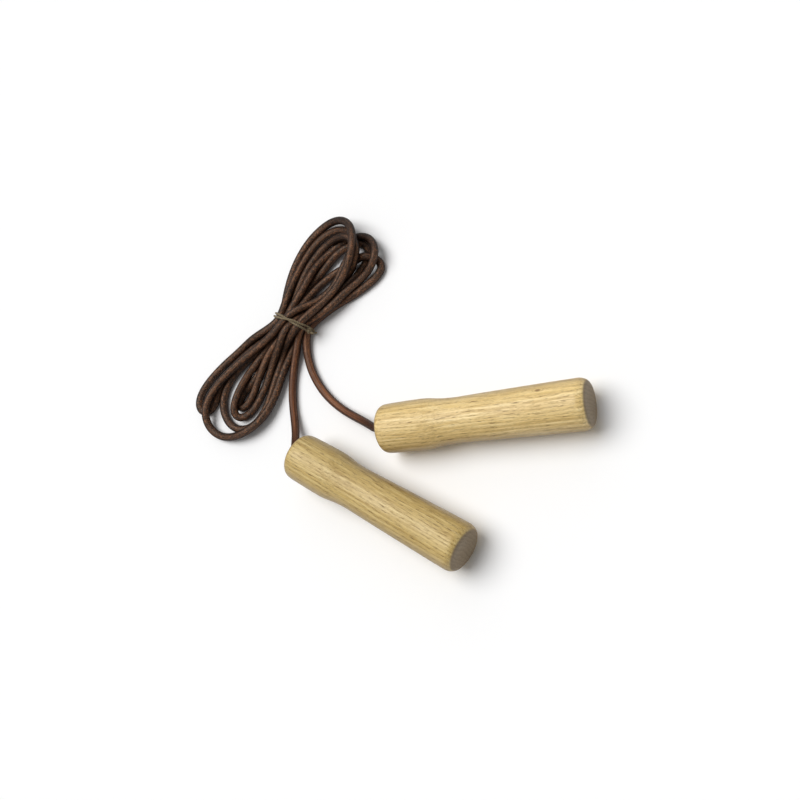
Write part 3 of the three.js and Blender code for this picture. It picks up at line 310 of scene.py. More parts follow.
# All profiles below are (distance along the axis, radius).
# Side of the turned handle between its two rounded edges.
OUTLINE = [
    (5.0, 17.15), (7.0, 17.33), (12, 17.47), (25, 17.7), (31, 17.72), (35, 17.58),
    (38.5, 17.2), (41.5, 16.78), (45, 16.3), (49, 15.93), (53, 15.72), (58, 15.64),
    (67, 15.9), (84, 16.33), (106, 16.8), (128, 17.25), (143.2, 17.5),
]
HANDLE_LENGTH = 150.0
FRONT_FACE_RADIUS = 13.2
BUTT_FACE_RADIUS = 12.95
# Hollow at the front: cord chamber, bearing seat and cover recess, from the bottom outwards.
BORE = [
    (33.0, 0.0), (32.2, 2.4), (31.1, 5.6), (30.0, 8.4), (29.4, 8.6), (9.5, 8.6), (9.3, 8.75),
    (9.3, 11.1), (9.15, 11.3), (2.0, 11.3), (1.9, 11.4), (1.9, 11.8), (1.8, 11.9),
    (0.25, 11.9), (0.0, 12.15),
]

# Bearing, measured from its own middle plane
BEARING_DEPTH = 5.6
PITCH_RADIUS = 7.5
BALL_COUNT = 7
BALL_RADIUS = 1.984
GROOVE_RADIUS = 2.135
POCKET_RADIUS = 2.3
CAGE_RING = [
    (-2.9, 7.2), (-2.8, 7.1), (2.8, 7.1), (2.9, 7.2),
    (2.9, 7.85), (2.8, 7.95), (-2.8, 7.95), (-2.9, 7.85),
]


def groove(side):
    """Ball groove of a race; side is +1 for the outer race and -1 for the inner."""
    return [(y, PITCH_RADIUS + side * math.sqrt(GROOVE_RADIUS**2 - y**2))
            for y in np.linspace(-1.45, 1.45, 11)]


OUTER_RACE = [
    (-3.2, 9.11), (-3.5, 9.4), (-3.5, 10.7), (-3.2, 11.0),
    (3.2, 11.0), (3.5, 10.7), (3.5, 9.4), (3.2, 9.11),
] + groove(1)[::-1]
INNER_RACE = [(-3.5, 4.2), (-3.5, 5.7), (-3.3, 5.88)] + groove(-1) + [
    (3.3, 5.88), (3.5, 5.7), (3.5, 4.2), (3.3, 4.0), (-3.3, 4.0),
]

# Fittings measured from the front face
COVER = [
    (0.80, 7.0), (0.62, 7.25), (0.55, 7.8), (0.48, 8.6), (0.45, 9.6), (0.45, 11.2),
    (0.6, 11.5), (0.8, 11.6), (1.4, 11.6), (1.5, 11.5), (1.5, 11.2), (1.28, 10.2),
    (1.22, 9.2), (1.25, 8.4), (1.32, 7.8), (1.45, 7.3), (1.55, 7.05), (1.3, 6.95),
]
EYELET = [
    (1.15, 3.42), (0.98, 3.75), (0.9, 4.15), (0.95, 4.6), (1.12, 4.92), (1.38, 5.0),
    (1.62, 4.85), (1.72, 4.4), (1.8, 3.95), (2.1, 3.72), (9.3, 3.7), (9.5, 3.8),
    (9.5, 5.2), (9.7, 5.4), (10.0, 5.4), (10.2, 5.2), (10.2, 3.35), (10.0, 3.25), (1.6, 3.25),
]
WASHER = [
    (10.6, 3.5), (10.6, 7.3), (10.75, 7.5), (11.65, 7.5),
    (11.8, 7.3), (11.8, 3.5), (11.65, 3.3), (10.75, 3.3),
]
FERRULE = [
    (12.2, 3.45), (12.2, 4.4), (12.4, 4.6), (15.7, 4.6), (16.3, 4.5), (16.8, 4.15),
    (17.2, 4.05), (17.6, 4.15), (18.1, 4.5), (18.7, 4.6), (22.0, 4.6), (22.2, 4.4),
    (22.2, 3.45), (22.05, 3.3), (12.35, 3.3),
]
# object name, profile, segments, material, body it rides on, CAD piece it replaces
FITTINGS = [
    ("cover_", COVER, 112, "zinc_plate", "grip_{}", "front_cover_{}"),
    ("eyelet_ring_", EYELET, 72, "brass", "coil", "eyelet_{}"),
    ("washer_", WASHER, 64, "zinc_plate", "coil", "stop_washer_{}"),
    ("ferrule_", FERRULE, 64, "zinc_plate", "coil", "cord_ferrule_{}"),
]


# ---------------------------------------------------------------- curves and noise
def monotone_curve(stations, x):
    """Monotone cubic through the (x, y) stations, read at x."""
    xs, ys = np.array(stations, float).T
    width = np.diff(xs)
    rise = np.diff(ys) / width
    slope = np.zeros(len(xs))
    for i in range(1, len(xs) - 1):
        if rise[i - 1] * rise[i] > 0:
            before = 2 * width[i] + width[i - 1]
            after = width[i] + 2 * width[i - 1]
            slope[i] = (before + after) / (before / rise[i - 1] + after / rise[i])
    slope[0], slope[-1] = rise[0], rise[-1]
    i = np.clip(np.searchsorted(xs, x) - 1, 0, len(xs) - 2)
    t = (x - xs[i]) / width[i]
    return ((2 * t**3 - 3 * t**2 + 1) * ys[i] + (t**3 - 2 * t**2 + t) * width[i] * slope[i]
            + (-2 * t**3 + 3 * t**2) * ys[i + 1] + (t**3 - t**2) * width[i] * slope[i + 1])


def resample(path, step):
    """Catmull-Rom curve through the path, evenly spaced, with its arc lengths."""
    padded = np.vstack([2 * path[0] - path[1], path, 2 * path[-1] - path[-2]])
    t = np.linspace(0, 1, 8, endpoint=False)[:, None]
    spans = [0.5 * ((2 * p1) + (-p0 + p2) * t + (2 * p0 - 5 * p1 + 4 * p2 - p3) * t**2
                    + (-p0 + 3 * p1 - 3 * p2 + p3) * t**3)
             for p0, p1, p2, p3 in zip(padded, padded[1:], padded[2:], padded[3:])]
    fine = np.vstack(spans + [path[-1:]])
    length = np.r_[0, np.cumsum(np.linalg.norm(np.diff(fine, axis=0), axis=1))]
    count = max(int(round(length[-1] / step)), 2)
    even = np.linspace(0, length[-1], count + 1)
    return np.stack([np.interp(even, length, fine[:, axis]) for axis in range(3)], 1), even


def frames(centre):
    """Rotation-minimising tangents, normals and binormals along a curve."""
    tangent = np.gradient(centre, axis=0)
    tangent /= np.linalg.norm(tangent, axis=1)[:, None]
    normal = np.zeros_like(centre)
    previous = np.array([0, 0, 1.0]) if abs(tangent[0, 2]) < 0.9 else np.array([1.0, 0, 0])
    for i, along in enumerate(tangent):
        across = previous - along * (previous @ along)
        previous = normal[i] = across / np.linalg.norm(across)
    return tangent, normal, np.cross(tangent, normal)


def value_noise(x, seed, period=4096):
    """Smooth one-dimensional noise in -1..1, repeating after period."""
    values = np.random.default_rng(seed).uniform(-1, 1, 4096)
    i = np.floor(x).astype(int)
    t = x - i
    t = t * t * (3 - 2 * t)
    return values[i % period] * (1 - t) + values[(i + 1) % period] * t


# ---------------------------------------------------------------- meshes
def mesh_object(name, verts, faces, attributes):
    """Smooth mesh from mm coordinates, with point attributes and outward faces."""
    mesh = bpy.data.meshes.new(name)
    mesh.from_pydata([tuple(v) for v in np.asarray(verts) * MM], [],
                     [tuple(int(i) for i in face) for face in faces])
    mesh.validate()
    for key, values in attributes.items():
        values = np.asarray(values, np.float32)
        kind, field = ("FLOAT_VECTOR", "vector") if values.ndim == 2 else ("FLOAT", "value")
        mesh.attributes.new(key, kind, "POINT").data.foreach_set(field, values.ravel())
    mesh.polygons.foreach_set("use_smooth", [True] * len(mesh.polygons))
    mesh.update()
    ob = bpy.data.objects.new(name, mesh)
    bpy.context.scene.collection.objects.link(ob)
    bm = bmesh.new()
    bm.from_mesh(mesh)
    bmesh.ops.recalc_face_normals(bm, faces=bm.faces)
    bm.to_mesh(mesh)
    bm.free()
    mesh.update()
    return ob


def tube(centre, length, sides, radius_at):
    """Swept tube with domed ends: vertices, faces and grain coordinates.

    radius_at(arc length, angle) gives the radius.
    """
    tangent, normal, binormal = frames(centre)
    rings = len(centre)
    angle = np.arange(sides) * 2 * np.pi / sides
    radius = np.broadcast_to(radius_at(length[:, None], angle[None, :]), (rings, sides))
    spoke = (np.cos(angle)[None, :, None] * normal[:, None]
             + np.sin(angle)[None, :, None] * binormal[:, None])
    verts = (centre[:, None] + radius[..., None] * spoke).reshape(-1, 3)
    grain = np.stack([radius * np.cos(angle), radius * np.sin(angle),
                      np.broadcast_to(length[:, None], radius.shape)], -1).reshape(-1, 3)
    faces = []
    for i in range(rings - 1):
        for j in range(sides):
            k = (j + 1) % sides
            faces.append((i * sides + j, i * sides + k, (i + 1) * sides + k, (i + 1) * sides + j))
    dome = 0.25
    first, last = len(verts), len(verts) + 1
    verts = np.vstack([verts, centre[0] - tangent[0] * dome, centre[-1] + tangent[-1] * dome])
    grain = np.vstack([grain, [0, 0, length[0]], [0, 0, length[-1]]])
    for j in range(sides):
        k = (j + 1) % sides
        faces.append((first, k, j))
        faces.append((last, (rings - 1) * sides + j, (rings - 1) * sides + k))
    return verts, faces, grain


def lathe(name, profile, segments, axes, origin, wobble=None, endgrain=None):
    """Turned piece about axes[1]. The profile ends on the axis or closes on itself."""
    profile = np.asarray(profile, float)
    closed = not (profile[0, 1] == 0 and profile[-1, 1] == 0)
    angles = np.arange(segments) * 2 * np.pi / segments
    verts, rows = [], []
    for along, radius in profile:
        if radius == 0:
            rows.append([len(verts)] * segments)
            verts.append((0, along, 0))
            continue
        radii = radius + (wobble(along, angles, radius) if wobble else 0 * angles)
        rows.append(range(len(verts), len(verts) + segments))
        verts += [(r * math.sin(a), along, r * math.cos(a)) for a, r in zip(angles, radii)]
    faces = []
    for i in range(len(profile) if closed else len(profile) - 1):
        near, far = rows[i], rows[(i + 1) % len(profile)]
        for j in range(segments):
            k = (j + 1) % segments
            face = list(dict.fromkeys([near[j], near[k], far[k], far[j]]))
            if len(face) > 2:
                faces.append(face)
    verts = np.array(verts)
    attributes = {"gc": verts}
    if endgrain:
        attributes["endgrain"] = endgrain(verts)
    return mesh_object(name, origin + verts @ axes, faces, attributes)


# ---------------------------------------------------------------- shader building
def srgb(*colour):
    """Linear colour from 0..255 sRGB."""
    return tuple(c / 255 / 12.92 if c / 255 <= 0.04045 else ((c / 255 + 0.055) / 1.055) ** 2.4
                 for c in colour)


class Material:
    """A Principled material and short calls for the nodes that feed it."""

    def __init__(self, name):
        self.block = bpy.data.materials.new(name)
        self.block.use_nodes = True
        self.tree = self.block.node_tree
        self.tree.nodes.clear()
        output = self.node("OutputMaterial")
        self.bsdf = self.node("BsdfPrincipled")
        self.tree.links.new(self.bsdf.outputs[0], output.inputs[0])

    def feed(self, socket, value):
        if hasattr(value, "is_output"):
            self.tree.links.new(value, socket)
        elif isinstance(value, (tuple, list)) and len(value) == 3 and socket.type == "RGBA":
            socket.default_value = (*value, 1)
        else:
            socket.default_value = value

    def node(self, kind, inputs=None, **settings):
        node = self.tree.nodes.new("ShaderNode" + kind)
        for key, value in settings.items():
            setattr(node, key, value)
        for key, value in (inputs or {}).items():
            self.feed(node.inputs[key], value)
        return node

    def set(self, name, value):
        self.feed(self.bsdf.inputs[name], value)

    def attribute(self, name, output):
        return self.node("Attribute", attribute_name=name).outputs[output]

    def math(self, operation, a, b=0.0, c=0.0, clamp=False):
        return self.node("Math", {0: a, 1: b, 2: c},
                         operation=operation, use_clamp=clamp).outputs[0]

    def add(self, a, b):
        return self.math("ADD", a, b)

    def mul(self, a, b):
        return self.math("MULTIPLY", a, b)

    def scale(self, vector, factors, offset=(0, 0, 0)):
        return self.node("VectorMath", {0: vector, 1: factors, 2: offset},
                         operation="MULTIPLY_ADD").outputs[0]

    def split(self, vector):
        return self.node("SeparateXYZ", {0: vector}).outputs

    def hypot(self, a, b):
        return self.math("SQRT", self.add(self.mul(a, a), self.mul(b, b)))

    def noise(self, vector, stretch=None, offset=(0, 0, 0), detail=2.0, rough=0.5):
        """Noise; stretch is its frequency per mm along each axis."""
        if stretch:
            vector = self.scale(vector, stretch, offset)
        return self.node("TexNoise", {"Vector": vector, "Scale": 1.0, "Detail": detail,
                                      "Roughness": rough}).outputs["Fac"]

    def ramp(self, value, stops):
        """Colour ramp; each stop is (position, grey level or 0..255 sRGB colour)."""
        node = self.node("ValToRGB", {0: value})
        elements = node.color_ramp.elements
        while len(elements) < len(stops):
            elements.new(0.5)
        for element, (position, colour) in zip(elements, stops):
            element.position = position
            rgb = srgb(*colour) if isinstance(colour, tuple) else (colour,) * 3
            element.color = (*rgb, 1)
        return node.outputs[0]

    def step(self, value, start, full):
        """Smooth step from 0 at start to 1 at full."""
        return self.node("MapRange", {0: value, 1: start, 2: full},
                         interpolation_type="SMOOTHSTEP").outputs[0]

    def facing(self):
        """0 seen face on, towards 1 at a slant."""
        return self.node("LayerWeight", {"Blend": 0.5}).outputs["Facing"]

    def mix(self, factor, a, b, mode="MIX"):
        return self.node("Mix", {0: factor, 6: a, 7: b},
                         data_type="RGBA", blend_type=mode).outputs[2]

    def stain(self, base, mask, amount, colour):
        return self.mix(self.mul(mask, amount), base, colour)

    def stains(self, base, *table):
        """Stains one over another: (mask, starts at, full at, amount, sRGB colour)."""
        for mask, start, full, amount, colour in table:
            base = self.stain(base, self.step(mask, start, full), amount, srgb(*colour))
        return base

    def bump(self, height, strength, depth):
        """Set the normal from a height; depth in mm."""
        self.set("Normal", self.node("Bump", {"Strength": strength, "Distance": depth * MM,
                                              "Height": height}).outputs[0])


# ---------------------------------------------------------------- materials
def wood_material(name, board, gain, knot=None):
    """Lacquered ring-porous wood with its grain along the handle (local y).

    board shifts the cut in the log, gain multiplies the colour,
    knot is (x, y, z, radius) in handle coordinates.
    """
    mat = Material(name)
    local = mat.attribute("gc", "Vector")
    endgrain = mat.attribute("endgrain", "Fac")
    grain = mat.scale(local, (1, 1, 1), offset=(board * 13.7, board * 71.3, board * 5.1))

    # growth rings: the heart is well outside the handle, so rings cross it as gentle arcs
    x, y, z = mat.split(local)
    heart_x, heart_z = 46.0 + 9 * board, 21.0 - 14 * board
    ring_spacing = 2.7
    rings = mat.hypot(mat.add(x, heart_x), mat.add(z, heart_z))
    broad_warp = mat.noise(grain, stretch=(0.05, 0.012, 0.05))
    fine_warp = mat.noise(grain, stretch=(0.35, 0.02, 0.35), rough=0.55)
    for source, shift in ((broad_warp, 9.0), (fine_warp, 1.6), (y, 0.018)):
        rings = mat.add(rings, mat.mul(source, shift))
    if knot:
        # the knot pushes the rings aside; it is stretched along the grain
        squeeze = 0.55
        knot_x, knot_y, knot_z, knot_radius = knot
        distance = mat.node("VectorMath", {
            0: mat.scale(local, (1, squeeze, 1)),
            1: (knot_x, knot_y * squeeze, knot_z)}, operation="DISTANCE").outputs[1]
        outside = mat.step(distance, start=knot_radius * 0.3, full=knot_radius * 1.6)
        knot_mask = mat.math("SUBTRACT", 1.0, outside)
        rings = mat.add(rings, mat.mul(knot_mask, 3.2))
    phase = mat.math("FRACT", mat.math("DIVIDE", rings, ring_spacing))
    early = mat.ramp(phase, [(0.0, 1.0), (0.30, 0.35), (0.62, 0.0), (0.93, 0.1), (1.0, 1.0)])

    # streaks and fibres along the grain
    streak = mat.noise(grain, stretch=(0.55, 0.012, 0.55), detail=3.0, rough=0.6)
    fibre = mat.noise(grain, stretch=(3.2, 0.06, 3.2), detail=3.0, rough=0.65)
    broad = mat.noise(grain, stretch=(0.03, 0.016, 0.03))
    base = mat.ramp(streak, [(0.28, (190, 160, 98)), (0.45, (214, 186, 124)),
                             (0.60, (228, 203, 145)), (0.76, (240, 220, 168))])
    base = mat.stains(base, (broad, 0.50, 0.70, 0.35, (204, 172, 106)))
    base = mat.stain(base, early, amount=0.50, colour=srgb(180, 148, 88))
    base = mat.stains(base, (fibre, 0.49, 0.68, 0.42, (158, 128, 74)),
                      (fibre, 0.50, 0.30, 0.30, (242, 224, 176)))

    # open pores: short dark dashes along the grain, mostly in the early wood
    long_pores = mat.noise(grain, stretch=(2.3, 0.16, 2.3), detail=1.0)
    long_pores = mat.step(long_pores, start=0.565, full=0.655)
    short_pores = mat.noise(grain, stretch=(4.2, 0.30, 4.2), offset=(9, 3, 4), detail=1.0)
    short_pores = mat.step(short_pores, start=0.59, full=0.69)
    density = mat.add(mat.mul(early, 0.80), 0.34)
    pores = mat.math("MAXIMUM", long_pores, mat.mul(short_pores, 0.8))
    pores = mat.math("MULTIPLY", pores, density, clamp=True)
    base = mat.stain(base, pores, amount=0.78, colour=srgb(108, 80, 42))
    if knot:
        base = mat.stains(base, (knot_mask, 0.35, 1.0, 0.75, (112, 78, 44)))
    # the gain sets each handle's tone and also paints light and shade: handle a darker as if shaded,
    # handle b lighter as if lit
    base = mat.mix(1.0, base, gain, "MULTIPLY")
    # painted shade: the colour darkens where the wood is seen at a slant, so the handles' outlines
    # look shaded
    base = mat.stains(base, (mat.facing(), 0.24, 0.90, 0.66, (134, 110, 68)))

    # end grain is darker, greyer and duller
    dots = mat.noise(grain, stretch=(2.6, 0.2, 2.6), rough=0.6)
    rays = mat.noise(grain, stretch=(0.5, 0.1, 3.0), detail=3.0, rough=0.6)
    cut = mat.stain(srgb(140, 122, 96), early, amount=0.5, colour=srgb(112, 95, 74))
    cut = mat.stains(cut, (dots, 0.50, 0.66, 0.50, (86, 72, 56)),
                     (rays, 0.50, 0.68, 0.35, (158, 141, 115)))
    mat.set("Base Color", mat.mix(endgrain, base, cut))

    rough = 0.38
    patches = mat.noise(grain, stretch=(0.2, 0.1, 0.2))
    for source, amount in ((pores, 0.25), (patches, 0.12), (endgrain, 0.22)):
        rough = mat.add(rough, mat.mul(source, amount))
    mat.set("Roughness", rough)
    mat.bump(mat.math("SUBTRACT", mat.mul(fibre, 0.25), pores), strength=0.55, depth=0.12)
    sheen = mat.noise(grain, stretch=(0.07, 0.035, 0.07), offset=(3, 1, 7))
    sheen = mat.step(sheen, start=0.40, full=0.62)
    mat.set("Coat Weight", mat.math("MULTIPLY_ADD", sheen, 0.16, 0.03))
    mat.set("Coat Roughness", 0.26)
    mat.set("Specular IOR Level", 0.45)
    return mat.block


def leather_material():
    """Dark mottled leather; local z runs along the cord."""
    mat = Material("leather_cord")
    local = mat.attribute("gc", "Vector")
    tail = mat.attribute("tail", "Fac")
    big = mat.noise(local, stretch=(0.10, 0.10, 0.018), detail=3.0, rough=0.55)
    mottle = mat.noise(local, stretch=(0.60, 0.60, 0.30), detail=4.0, rough=0.62)
    grain = mat.noise(local, stretch=(1.25, 1.25, 0.95), detail=5.0, rough=0.72)
    lines = mat.noise(local, stretch=(0.95, 0.95, 0.022))
    cells = mat.node("TexVoronoi", {"Vector": mat.scale(local, (1.7, 1.7, 1.0)), "Scale": 1.0},
                     feature="DISTANCE_TO_EDGE").outputs["Distance"]
    base = mat.ramp(mottle, [(0.28, (23, 17, 15)), (0.44, (40, 29, 24)),
                             (0.56, (66, 47, 36)), (0.70, (112, 77, 54))])
    base = mat.stains(
        base,
        (big, 0.45, 0.66, 0.45, (48, 36, 30)),
        (grain, 0.51, 0.60, 0.62, (24, 18, 16)),
        (grain, 0.48, 0.38, 0.54, (160, 110, 76)),
        (lines, 0.54, 0.70, 0.26, (140, 96, 64)),
        (lines, 0.45, 0.30, 0.30, (30, 21, 17)))
    redder = mat.stains(srgb(84, 47, 29), (lines, 0.42, 0.66, 0.8, (158, 102, 64)))
    base = mat.stain(base, tail, amount=0.72, colour=redder)
    base = mat.mix(1.0, base, (1.34, 1.24, 1.13), "MULTIPLY")
    # painted shade: the colour goes near black where a strand is seen at a slant, so the flanks of
    # the strands look shaded
    base = mat.stains(base, (mat.facing(), 0.06, 0.58, 0.80, (21, 16, 15)))
    mat.set("Base Color", base)
    rough = mat.add(0.33, mat.mul(grain, 0.26))
    mat.set("Roughness", mat.math("SUBTRACT", rough, mat.mul(tail, 0.08)))
    height = mat.add(mat.mul(grain, 0.75), mat.mul(lines, 0.20))
    height = mat.add(height, mat.mul(mat.step(cells, start=0.0, full=0.10), 0.35))
    mat.bump(height, strength=0.75, depth=0.20)
    flank = mat.step(mat.facing(), start=0.10, full=0.60)
    mat.set("Specular IOR Level", mat.math("SUBTRACT", 0.44, mat.mul(flank, 0.34)))
    mat.set("Specular Tint", (1.0, 0.84, 0.70, 1.0))
    return mat.block


def twine_material():
    """Dull fibrous twine; local z runs along each ply."""
    mat = Material("tie_twine")
    local = mat.attribute("gc", "Vector")
    fibre = mat.noise(local, stretch=(7.0, 7.0, 0.6), detail=3.0, rough=0.65)
    broad = mat.noise(local, stretch=(0.6, 0.6, 0.25))
    base = mat.ramp(fibre, [(0.3, (82, 70, 50)), (0.5, (122, 106, 78)), (0.72, (160, 143, 110))])
    mat.set("Base Color", mat.stains(base, (broad, 0.48, 0.7, 0.35, (118, 101, 72))))
    least_rough, most_rough = 0.62, 0.85
    mat.set("Roughness", mat.node("MapRange", {0: fibre, 3: least_rough,
                                               4: most_rough}).outputs[0])
    mat.bump(fibre, strength=0.6, depth=0.10)
    mat.set("Sheen Weight", 0.15)
    return mat.block


def metal_material(name, colour, rough, brushed):
    """Turned metal; brushed scales the depth of the turning marks."""
    mat = Material(name)
    local = mat.attribute("gc", "Vector")
    x, y, z = mat.split(local)
    marks_per_mm = 9.0
    rings = mat.node("CombineXYZ", {0: mat.mul(mat.hypot(x, z), marks_per_mm),
                                    1: mat.mul(y, marks_per_mm), 2: 0.0}).outputs[0]
    turned = mat.noise(rings, rough=0.6)
    spots = mat.noise(local, stretch=(0.7, 0.7, 0.7), detail=3.0, rough=0.6)
    base = mat.stain(colour, mat.step(spots, start=0.45, full=0.75), amount=0.35,
                     colour=tuple(0.6 * channel for channel in colour))
    mat.set("Base Color", mat.stain(base, turned, amount=0.12, colour=(1, 1, 1)))
    mat.set("Metallic", 1.0)
    rough = mat.add(rough, mat.mul(spots, 0.18))
    mat.set("Roughness", mat.add(rough, mat.mul(turned, 0.10 * brushed)))
    mat.bump(turned, strength=0.25 * brushed, depth=0.03)
    return mat.block


MATERIALS = {
    # painted shade on handle a and painted light on handle b: their gains stand in for how each
    # handle lies to the light
    "wood_a": wood_material("wood_a", board=1.0, gain=(0.84, 0.84 * 0.975, 0.84 * 0.83)),
    "wood_b": wood_material("wood_b", board=2.0, gain=(1.14, 1.13, 1.11),
                            knot=(9.0, 119.0, -14.0, 1.5)),
    "leather": leather_material(),
    "twine": twine_material(),
    "bearing_steel": metal_material("bearing_steel", colour=(0.62, 0.63, 0.65),
                                    rough=0.12, brushed=0.3),
    "zinc_plate": metal_material("zinc_plate", colour=(0.56, 0.57, 0.58),
                                 rough=0.30, brushed=1.0),
    "brass": metal_material("cage_brass", colour=(0.62, 0.46, 0.20), rough=0.26, brushed=0.6),
}


def finish_piece(ob, material, body, *cad_pieces, slot=None):
    """Give the piece its material, its body and the CAD pieces it replaces; slot is not used."""
    ob.data.materials.clear()
    ob.data.materials.append(MATERIALS[material])
    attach(ob, body)
    slot or material
    if cad_pieces:
        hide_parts(*cad_pieces)


# ---------------------------------------------------------------- cord and tie
def cord_radius(length, angle):
    """Hand-cut cord: almost round, with long shallow flats that wander round it."""
    turn = value_noise(length / 46.0, seed=11) * 1.6
    flats = (0.012 * np.cos(2 * (angle + turn))
             + 0.007 * np.cos(3 * angle + 1.3 * value_noise(length / 31.0, seed=12)))
    thickness = (0.012 * value_noise(length / 17.0, seed=13)
                 + 0.006 * value_noise(length / 4.1, seed=14))
    return CORD_RADIUS * (0.985 + flats + thickness)


def build_cord():
    centre, length = resample(CORD, CORD_STEP)
    verts, faces, grain = tube(centre, length, CORD_SIDES, cord_radius)
    along = grain[:, 2]
    start, end = DYED_TAILS
    tail = np.maximum(1 - along / start, 1 - (length[-1] - along) / end) * 2.0
    cord = mesh_object("leather_cord", verts, faces,
                       {"gc": grain, "tail": np.clip(tail, 0, 1)})
    finish_piece(cord, "leather", "coil", "rope_cord")


def twisted_twine(name, path, offset, ply_radius, pitch, step):
    """Two plies wound round the path, offset from it, in one mesh."""
    centre, length = resample(path, step)
    _, normal, binormal = frames(centre)
    verts, faces, grain = [], [], []
    for phase in (0.0, math.pi):
        angle = 2 * np.pi * length / pitch + phase
        spoke = np.cos(angle)[:, None] * normal + np.sin(angle)[:, None] * binormal
        ply = tube(centre + offset * spoke, length, 8, lambda along, around: ply_radius)
        first = sum(map(len, verts))
        verts.append(ply[0])
        faces += [tuple(i + first for i in face) for face in ply[1]]
        grain.append(ply[2])
    return mesh_object(name, np.vstack(verts), faces, {"gc": np.vstack(grain)})


def knot_path():
    """Closed trefoil knot."""
    u = np.linspace(0, 2 * np.pi, 90, endpoint=False)
    shape = (np.sin(u) + 2 * np.sin(2 * u), np.cos(u) - 2 * np.cos(2 * u), -np.sin(3 * u))
    axes = (KNOT_X, KNOT_Y, np.cross(KNOT_X, KNOT_Y))
    path = KNOT_CENTRE
    for size, distance, axis in zip(KNOT_SCALE, shape, axes):
        path = path + size * distance[:, None] * axis
    return np.vstack([path, path[:1]])


build_cord()
tie = twisted_twine("tie_twine", TIE, offset=0.42, ply_radius=0.47, pitch=3.4, step=0.35)
finish_piece(tie, "twine", "coil", "tie_cord")
tie_knot = twisted_twine("tie_knot", knot_path(), offset=0.40, ply_radius=0.45, pitch=3.2,
                         step=0.3)
finish_piece(tie_knot, "twine", "coil")


# ---------------------------------------------------------------- handles
def handle_axes(axis):
    """Rows x, y, z of the handle frame: y along the handle, z downwards."""
    y = np.array(axis, float)
    y /= np.linalg.norm(y)
    z = np.array([0, 0, -1.0]) + y * y[2]
    z /= np.linalg.norm(z)
    return np.array([np.cross(y, z), y, z])


def wood_profile():
    """Bore, front face, rounded edge, side, rounded edge and butt face."""
    start, end = OUTLINE[0][0], OUTLINE[-1][0]
    along = np.linspace(start, end, 150)
    side = list(zip(along, monotone_curve(OUTLINE, along)))
    quarter = np.pi / 2
    front_edge = [(start - start * math.cos(a),
                   FRONT_FACE_RADIUS + (side[0][1] - FRONT_FACE_RADIUS) * math.sin(a))
                  for a in np.linspace(0, quarter, 13)]
    butt_edge = [(end + (HANDLE_LENGTH - end) * math.sin(a),
                  BUTT_FACE_RADIUS + (side[-1][1] - BUTT_FACE_RADIUS) * math.cos(a))
                 for a in np.linspace(0, quarter, 17)]
    butt = [(HANDLE_LENGTH, radius) for radius in (12.0, 9.0, 6.0, 3.0, 0.0)]
    return BORE + front_edge + side[1:] + butt_edge[1:] + butt


def build_wood(tag, axes, at, seed):
    def wobble(along, angles, radius):
        """Slight unevenness of the turned side; bore and faces stay true."""
        if along < 1.0 or radius < 12.5 or along > 149.0:
            return 0 * angles
        lobes = value_noise(angles * 12 / (2 * np.pi), seed, period=12)
        return (0.045 * lobes * math.sin(along / 23.0)
                + 0.035 * math.sin(along / 1.15) * value_noise(along / 9.0, seed + 1))

    def endgrain(verts):
        """1 on the butt face, the front face and in the bore."""
        along = verts[:, 1]
        butt = np.clip((along - 148.5) / 0.9, 0, 1)
        front = np.clip((1.6 - along) / 1.4, 0, 1)
        bore = (np.hypot(verts[:, 0], verts[:, 2]) < 12.3) & (along < 34)
        return np.maximum(np.maximum(butt, front), bore.astype(float))

    wood = lathe("turned_handle_" + tag, wood_profile(), 112, axes, at, wobble, endgrain)
    finish_piece(wood, "wood_" + tag, "grip_" + tag, "handle_" + tag, slot="wood")


def ball_directions(axes):
    """Unit vectors from the bearing axis to each ball."""
    angles = [2 * math.pi * i / BALL_COUNT for i in range(BALL_COUNT)]
    return [math.cos(angle) * axes[0] - math.sin(angle) * axes[2] for angle in angles]


def build_cage(tag, axes, middle):
    """Ring with a round pocket cut through it for each ball."""
    ring = lathe("cage_" + tag, CAGE_RING, 84, axes, middle)
    pocket = [(5.5, 0.0), (5.5, POCKET_RADIUS), (9.5, POCKET_RADIUS), (9.5, 0.0)]
    cutters = []
    for i, outward in enumerate(ball_directions(axes)):
        sideways = np.cross(outward, axes[1])
        pocket_axes = np.array([sideways, outward, np.cross(sideways, outward)])
        cutters.append(lathe(f"cut_{tag}_{i}", pocket, 32, pocket_axes, middle))
    for cutter in cutters:
        cut = ring.modifiers.new("cut", "BOOLEAN")
        cut.operation = "DIFFERENCE"
        cut.object = cutter
        cut.solver = "EXACT"
    bpy.context.view_layer.update()
    graph = bpy.context.evaluated_depsgraph_get()
    mesh = bpy.data.meshes.new_from_object(ring.evaluated_get(graph), depsgraph=graph)
    ring.modifiers.clear()
    ring.data = mesh
    # the cutters bring their own coordinates, so write the cage's afresh
    local = (np.array([v.co for v in mesh.vertices]) / MM - middle) @ axes.T
    if "gc" in mesh.attributes:
        mesh.attributes.remove(mesh.attributes["gc"])
    coordinates = mesh.attributes.new("gc", "FLOAT_VECTOR", "POINT")
    coordinates.data.foreach_set("vector", local.astype(np.float32).ravel())
    mesh.polygons.foreach_set("use_smooth", [False] * len(mesh.polygons))
    for cutter in cutters:
        bpy.data.objects.remove(cutter)
    finish_piece(ring, "brass", "cage_" + tag, f"bearing_{tag}_cage")


